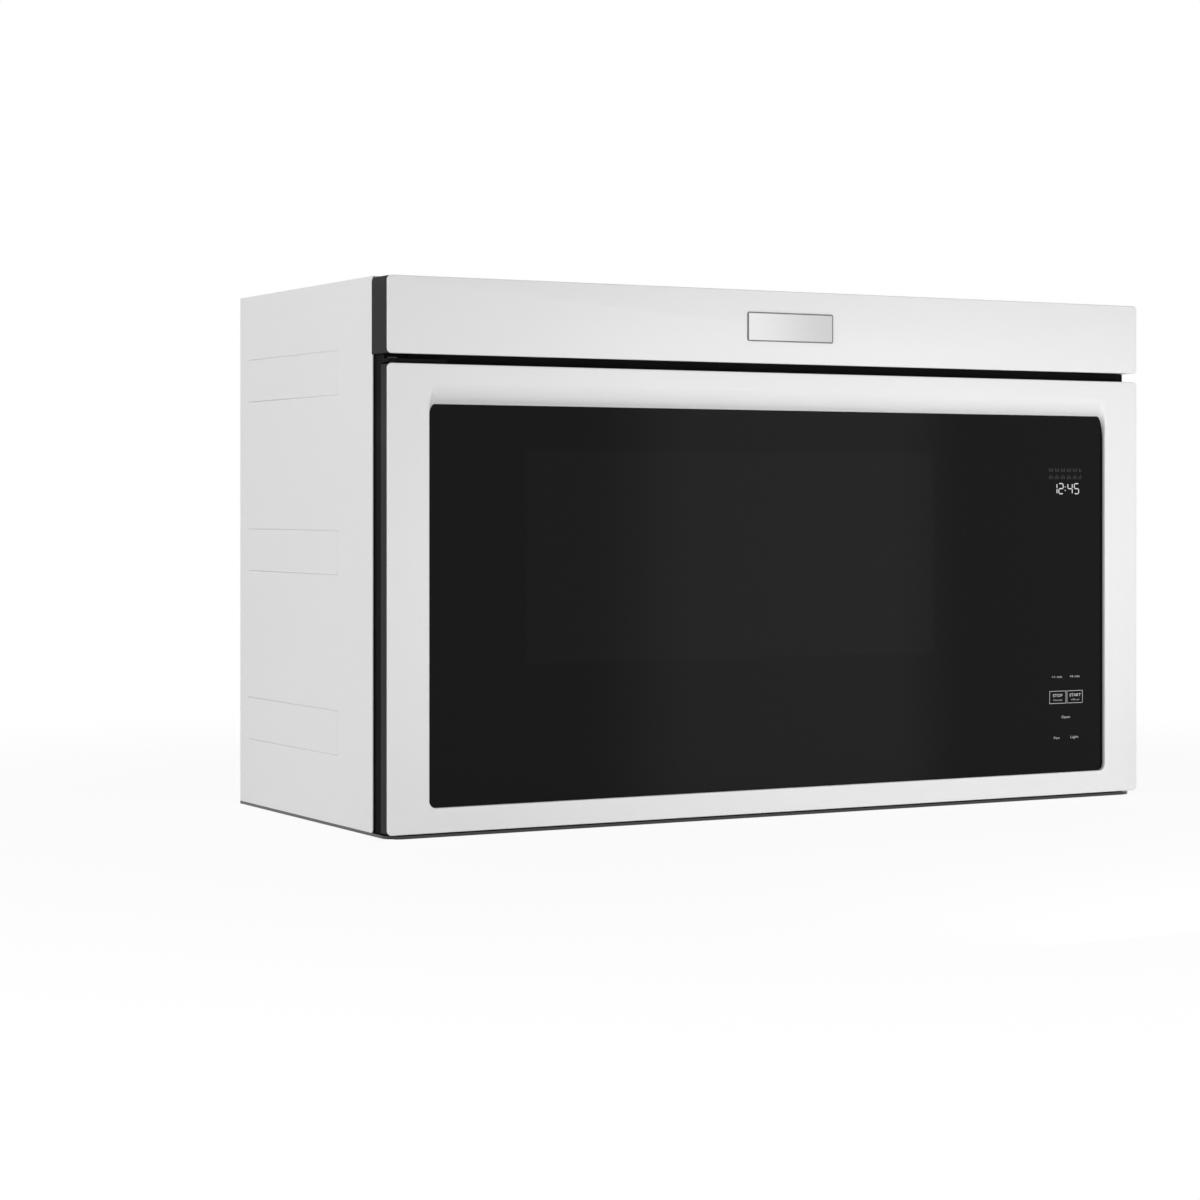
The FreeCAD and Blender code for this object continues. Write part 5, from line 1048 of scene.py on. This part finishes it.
CAMERA_PLACE = Vector((-1.3235, -2.2304, 0.2689))
HORIZON_SHIFT = -0.0797             # shift of the level camera, as a share of the picture's width
DOME = 0.33                         # strength of the even light
LAMPS = {                           # place, aim, width in metres and power in watts
    "key": ((0.5, -1.1, 0.1), (0.45, 0, 0.15), 0.7, 6.1),
    "fill": ((-2.8, -0.9, 1.0), (-0.3, 0, 0.2), 1.8, 32.0),
    "bounce": ((0.0, -0.85, 0.03), (0.0, -0.16, 0.12), 0.5, 1.85),
}


def build_camera():
    camera = bpy.data.cameras.new("camera")
    camera.lens = sizes().camera_lens
    camera.sensor_width = 36.0
    camera.shift_y = HORIZON_SHIFT
    camera.clip_end = 60.0
    thing = stand("camera", camera)
    thing.location = CAMERA_PLACE
    thing.rotation_euler = (math.pi / 2, 0.0, -sizes().camera_turn)
    bpy.context.scene.camera = thing


# ---- finishes of the carried-over nodes
def board_mask(name, node, axis, depth, facing=1):
    """Finish of a circuit board whose face lies a depth inside the node's box."""
    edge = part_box(node)[0 if facing > 0 else 1][axis]
    return finish(name, circuit_board, edge + facing * depth * MM, axis, facing)


def node_finishes():
    """Every carried-over node with the finish it gets."""
    oven = tuple(colours().oven)
    lathe = (1500.0, 1500.0, 60.0)
    groups = {
        "top_cover back_plate blower_plate weld_nuts blower_housing blower_wheel_left blower_wheel_right "
        "waveguide component_bracket magnetron_yoke": finish("zinc_sheet", zinc_sheet),
        "interlock_bracket interlock_switches display_module choke_cover": black_moulding(),
        # the hinges in the same recess take the darkened moulding too: painted shade
        "upper_hinge hinge_bushes": painted_shade_moulding(),
        "latch_hooks primary_plunger secondary_plunger monitor_plunger cooling_shroud cooling_fan "
        "cooktop_housings": finish("pale_resin", smooth_resin, (0.62, 0.61, 0.58)),
        "choke_plate oven_cavity oven_floor": finish("oven_enamel", speckled_enamel, oven),
        "face_plate": finish("face_enamel", speckled_enamel, oven, 374.0 * MM),
        "hinge_pins": finish("blackened_steel", brushed_metal, (0.05, 0.05, 0.052), lathe, 0.4),
        "latch_spring release_plunger blower_shaft":
            finish("ground_steel", brushed_metal, (0.52, 0.52, 0.53), lathe),
        "stirrer_antenna cavity_lamp":
            finish("rolled_aluminium", brushed_metal, (0.7, 0.71, 0.72), (900.0, 40.0, 900.0)),
        "release_solenoid stirrer_motor blower_motor": finish("motor_laminations", laminated_steel, 0),
        "cooling_fan_motor": finish("fan_laminations", laminated_steel, 1),
        "ceramic_floor": finish("glass_ceramic", glass_ceramic),
        "charcoal_filter": finish("carbon_granules", carbon_granules),
        "door_screen": finish("perforated_screen", perforated_screen),
        "inner_window": finish("window_glass", clear_glass),
        "cooktop_lenses": finish("prismatic_lens", prismatic_lens),
        "magnetron_anode": finish("copper_fins", copper_fins, *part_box("magnetron_anode")),
        "inverter_board": board_mask("inverter_mask", "inverter_board", 2, 5.6),
        "line_filter_board": board_mask("line_filter_mask", "line_filter_board", 0, 7.6),
        "cooktop_led_boards": board_mask("lamp_board_mask", "cooktop_led_boards", 2, 1.6, -1),
        "control_board": board_mask("control_mask", "control_board", 1, 1.6),
        "touch_board": board_mask("touch_mask", "touch_board", 1, 1.6),
        "grease_filters": finish("filter_mesh", filter_mesh, *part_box("grease_filters"), 9.0 * MM, 67.0 * MM),
    }
    return {node: material for nodes, material in groups.items() for node in nodes.split()}


def dress_nodes():
    for node, material in node_finishes().items():
        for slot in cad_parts[node].material_slots:
            slot.material = material


# ---- operators
class MakeFinishes(bpy.types.Operator):
    """Give every carried-over piece its finish"""
    bl_idname = "microwave.make_finishes"
    bl_label = "Finishes"

    def execute(self, context):
        dress_nodes()
        return {"FINISHED"}


class MakeDoorSurround(bpy.types.Operator):
    """Build the white door frame with its finger scoop"""
    bl_idname = "microwave.make_door_surround"
    bl_label = "Door surround"

    def execute(self, context):
        build_door_surround()
        return {"FINISHED"}


class MakeVentFace(bpy.types.Operator):
    """Build the white vent panel face"""
    bl_idname = "microwave.make_vent_face"
    bl_label = "Vent face"

    def execute(self, context):
        build_vent_face()
        return {"FINISHED"}


class MakeCaseSides(bpy.types.Operator):
    """Build both case sides with their ramp pads"""
    bl_idname = "microwave.make_case_sides"
    bl_label = "Case sides"

    def execute(self, context):
        build_side_sheet("left_side_panel", -1)
        build_side_sheet("right_side_panel", 1)
        return {"FINISHED"}


class MakeDoorPane(bpy.types.Operator):
    """Build the black door glass"""
    bl_idname = "microwave.make_door_pane"
    bl_label = "Door pane"

    def execute(self, context):
        build_door_pane()
        return {"FINISHED"}


class MakeBarePlate(bpy.types.Operator):
    """Build the blank plate on the vent panel"""
    bl_idname = "microwave.make_bare_plate"
    bl_label = "Bare plate"

    def execute(self, context):
        build_bare_plate()
        return {"FINISHED"}


class MakeMouldings(bpy.types.Operator):
    """Ease the edges of the mouldings and the base pan"""
    bl_idname = "microwave.make_mouldings"
    bl_label = "Mouldings"

    def execute(self, context):
        build_mouldings()
        return {"FINISHED"}


class MakeGland(bpy.types.Operator):
    """Build the turned cord gland"""
    bl_idname = "microwave.make_gland"
    bl_label = "Cord gland"

    def execute(self, context):
        build_gland()
        return {"FINISHED"}


class MakeControls(bpy.types.Operator):
    """Build the clock, the unlit icons and the key legends"""
    bl_idname = "microwave.make_controls"
    bl_label = "Controls"

    def execute(self, context):
        build_clock_digits()
        build_unlit_icons()
        build_key_legends()
        return {"FINISHED"}


class MakeScrews(bpy.types.Operator):
    """Build the screws of the back and the base"""
    bl_idname = "microwave.make_screws"
    bl_label = "Screws"

    def execute(self, context):
        behind = [(side * x * MM, BACK[1].y - SEAT, share * CAD_BOX[1].z)
                  for side in (-1, 1) for x in BACK_SCREWS[0] for share in BACK_SCREWS[1]]
        build_screws("back_screws", behind, (0, 1, 0))
        under = [(side * x * MM, y * MM, BASE[0].z + SEAT) for side in (-1, 1) for x, y in BASE_SCREWS]
        build_screws("base_screws", under, (0, 0, -1))
        return {"FINISHED"}


class MakeStage(bpy.types.Operator):
    """Build the floor, the light and the camera"""
    bl_idname = "microwave.make_stage"
    bl_label = "Stage"

    def execute(self, context):
        build_floor()
        build_sky()
        for name, values in LAMPS.items():
            build_lamp(name, *values)
        build_camera()
        bpy.context.scene.view_settings.view_transform = "Standard"
        return {"FINISHED"}


class MicrowavePanel(bpy.types.Panel):
    """Sidebar panel with one button for each piece"""
    bl_idname = "VIEW3D_PT_microwave"
    bl_label = "Microwave"
    bl_space_type = "VIEW_3D"
    bl_region_type = "UI"
    bl_category = "Microwave"

    def draw(self, context):
        for maker in MAKERS:
            self.layout.operator(maker.bl_idname)
        for group in (context.scene.microwave_sizes, context.scene.microwave_colours):
            for words in group.bl_rna.properties.keys():
                if words not in ("rna_type", "name"):
                    self.layout.prop(group, words)


MAKERS = (MakeFinishes, MakeDoorSurround, MakeVentFace, MakeCaseSides, MakeDoorPane, MakeBarePlate,
          MakeMouldings, MakeGland, MakeControls, MakeScrews, MakeStage)
CLASSES = (MicrowaveSizes, MicrowaveColours, *MAKERS, MicrowavePanel)


def register():
    for each in CLASSES:
        bpy.utils.register_class(each)
    bpy.types.Scene.microwave_sizes = PointerProperty(type=MicrowaveSizes)
    bpy.types.Scene.microwave_colours = PointerProperty(type=MicrowaveColours)


def unregister():
    del bpy.types.Scene.microwave_colours
    del bpy.types.Scene.microwave_sizes
    for each in reversed(CLASSES):
        bpy.utils.unregister_class(each)


def main():
    register()
    bpy.ops.microwave.make_finishes()
    bpy.ops.microwave.make_door_surround()
    bpy.ops.microwave.make_vent_face()
    bpy.ops.microwave.make_case_sides()
    bpy.ops.microwave.make_door_pane()
    bpy.ops.microwave.make_bare_plate()
    bpy.ops.microwave.make_mouldings()
    bpy.ops.microwave.make_gland()
    bpy.ops.microwave.make_controls()
    bpy.ops.microwave.make_screws()
    bpy.ops.microwave.make_stage()


if __name__ == "__main__":
    main()
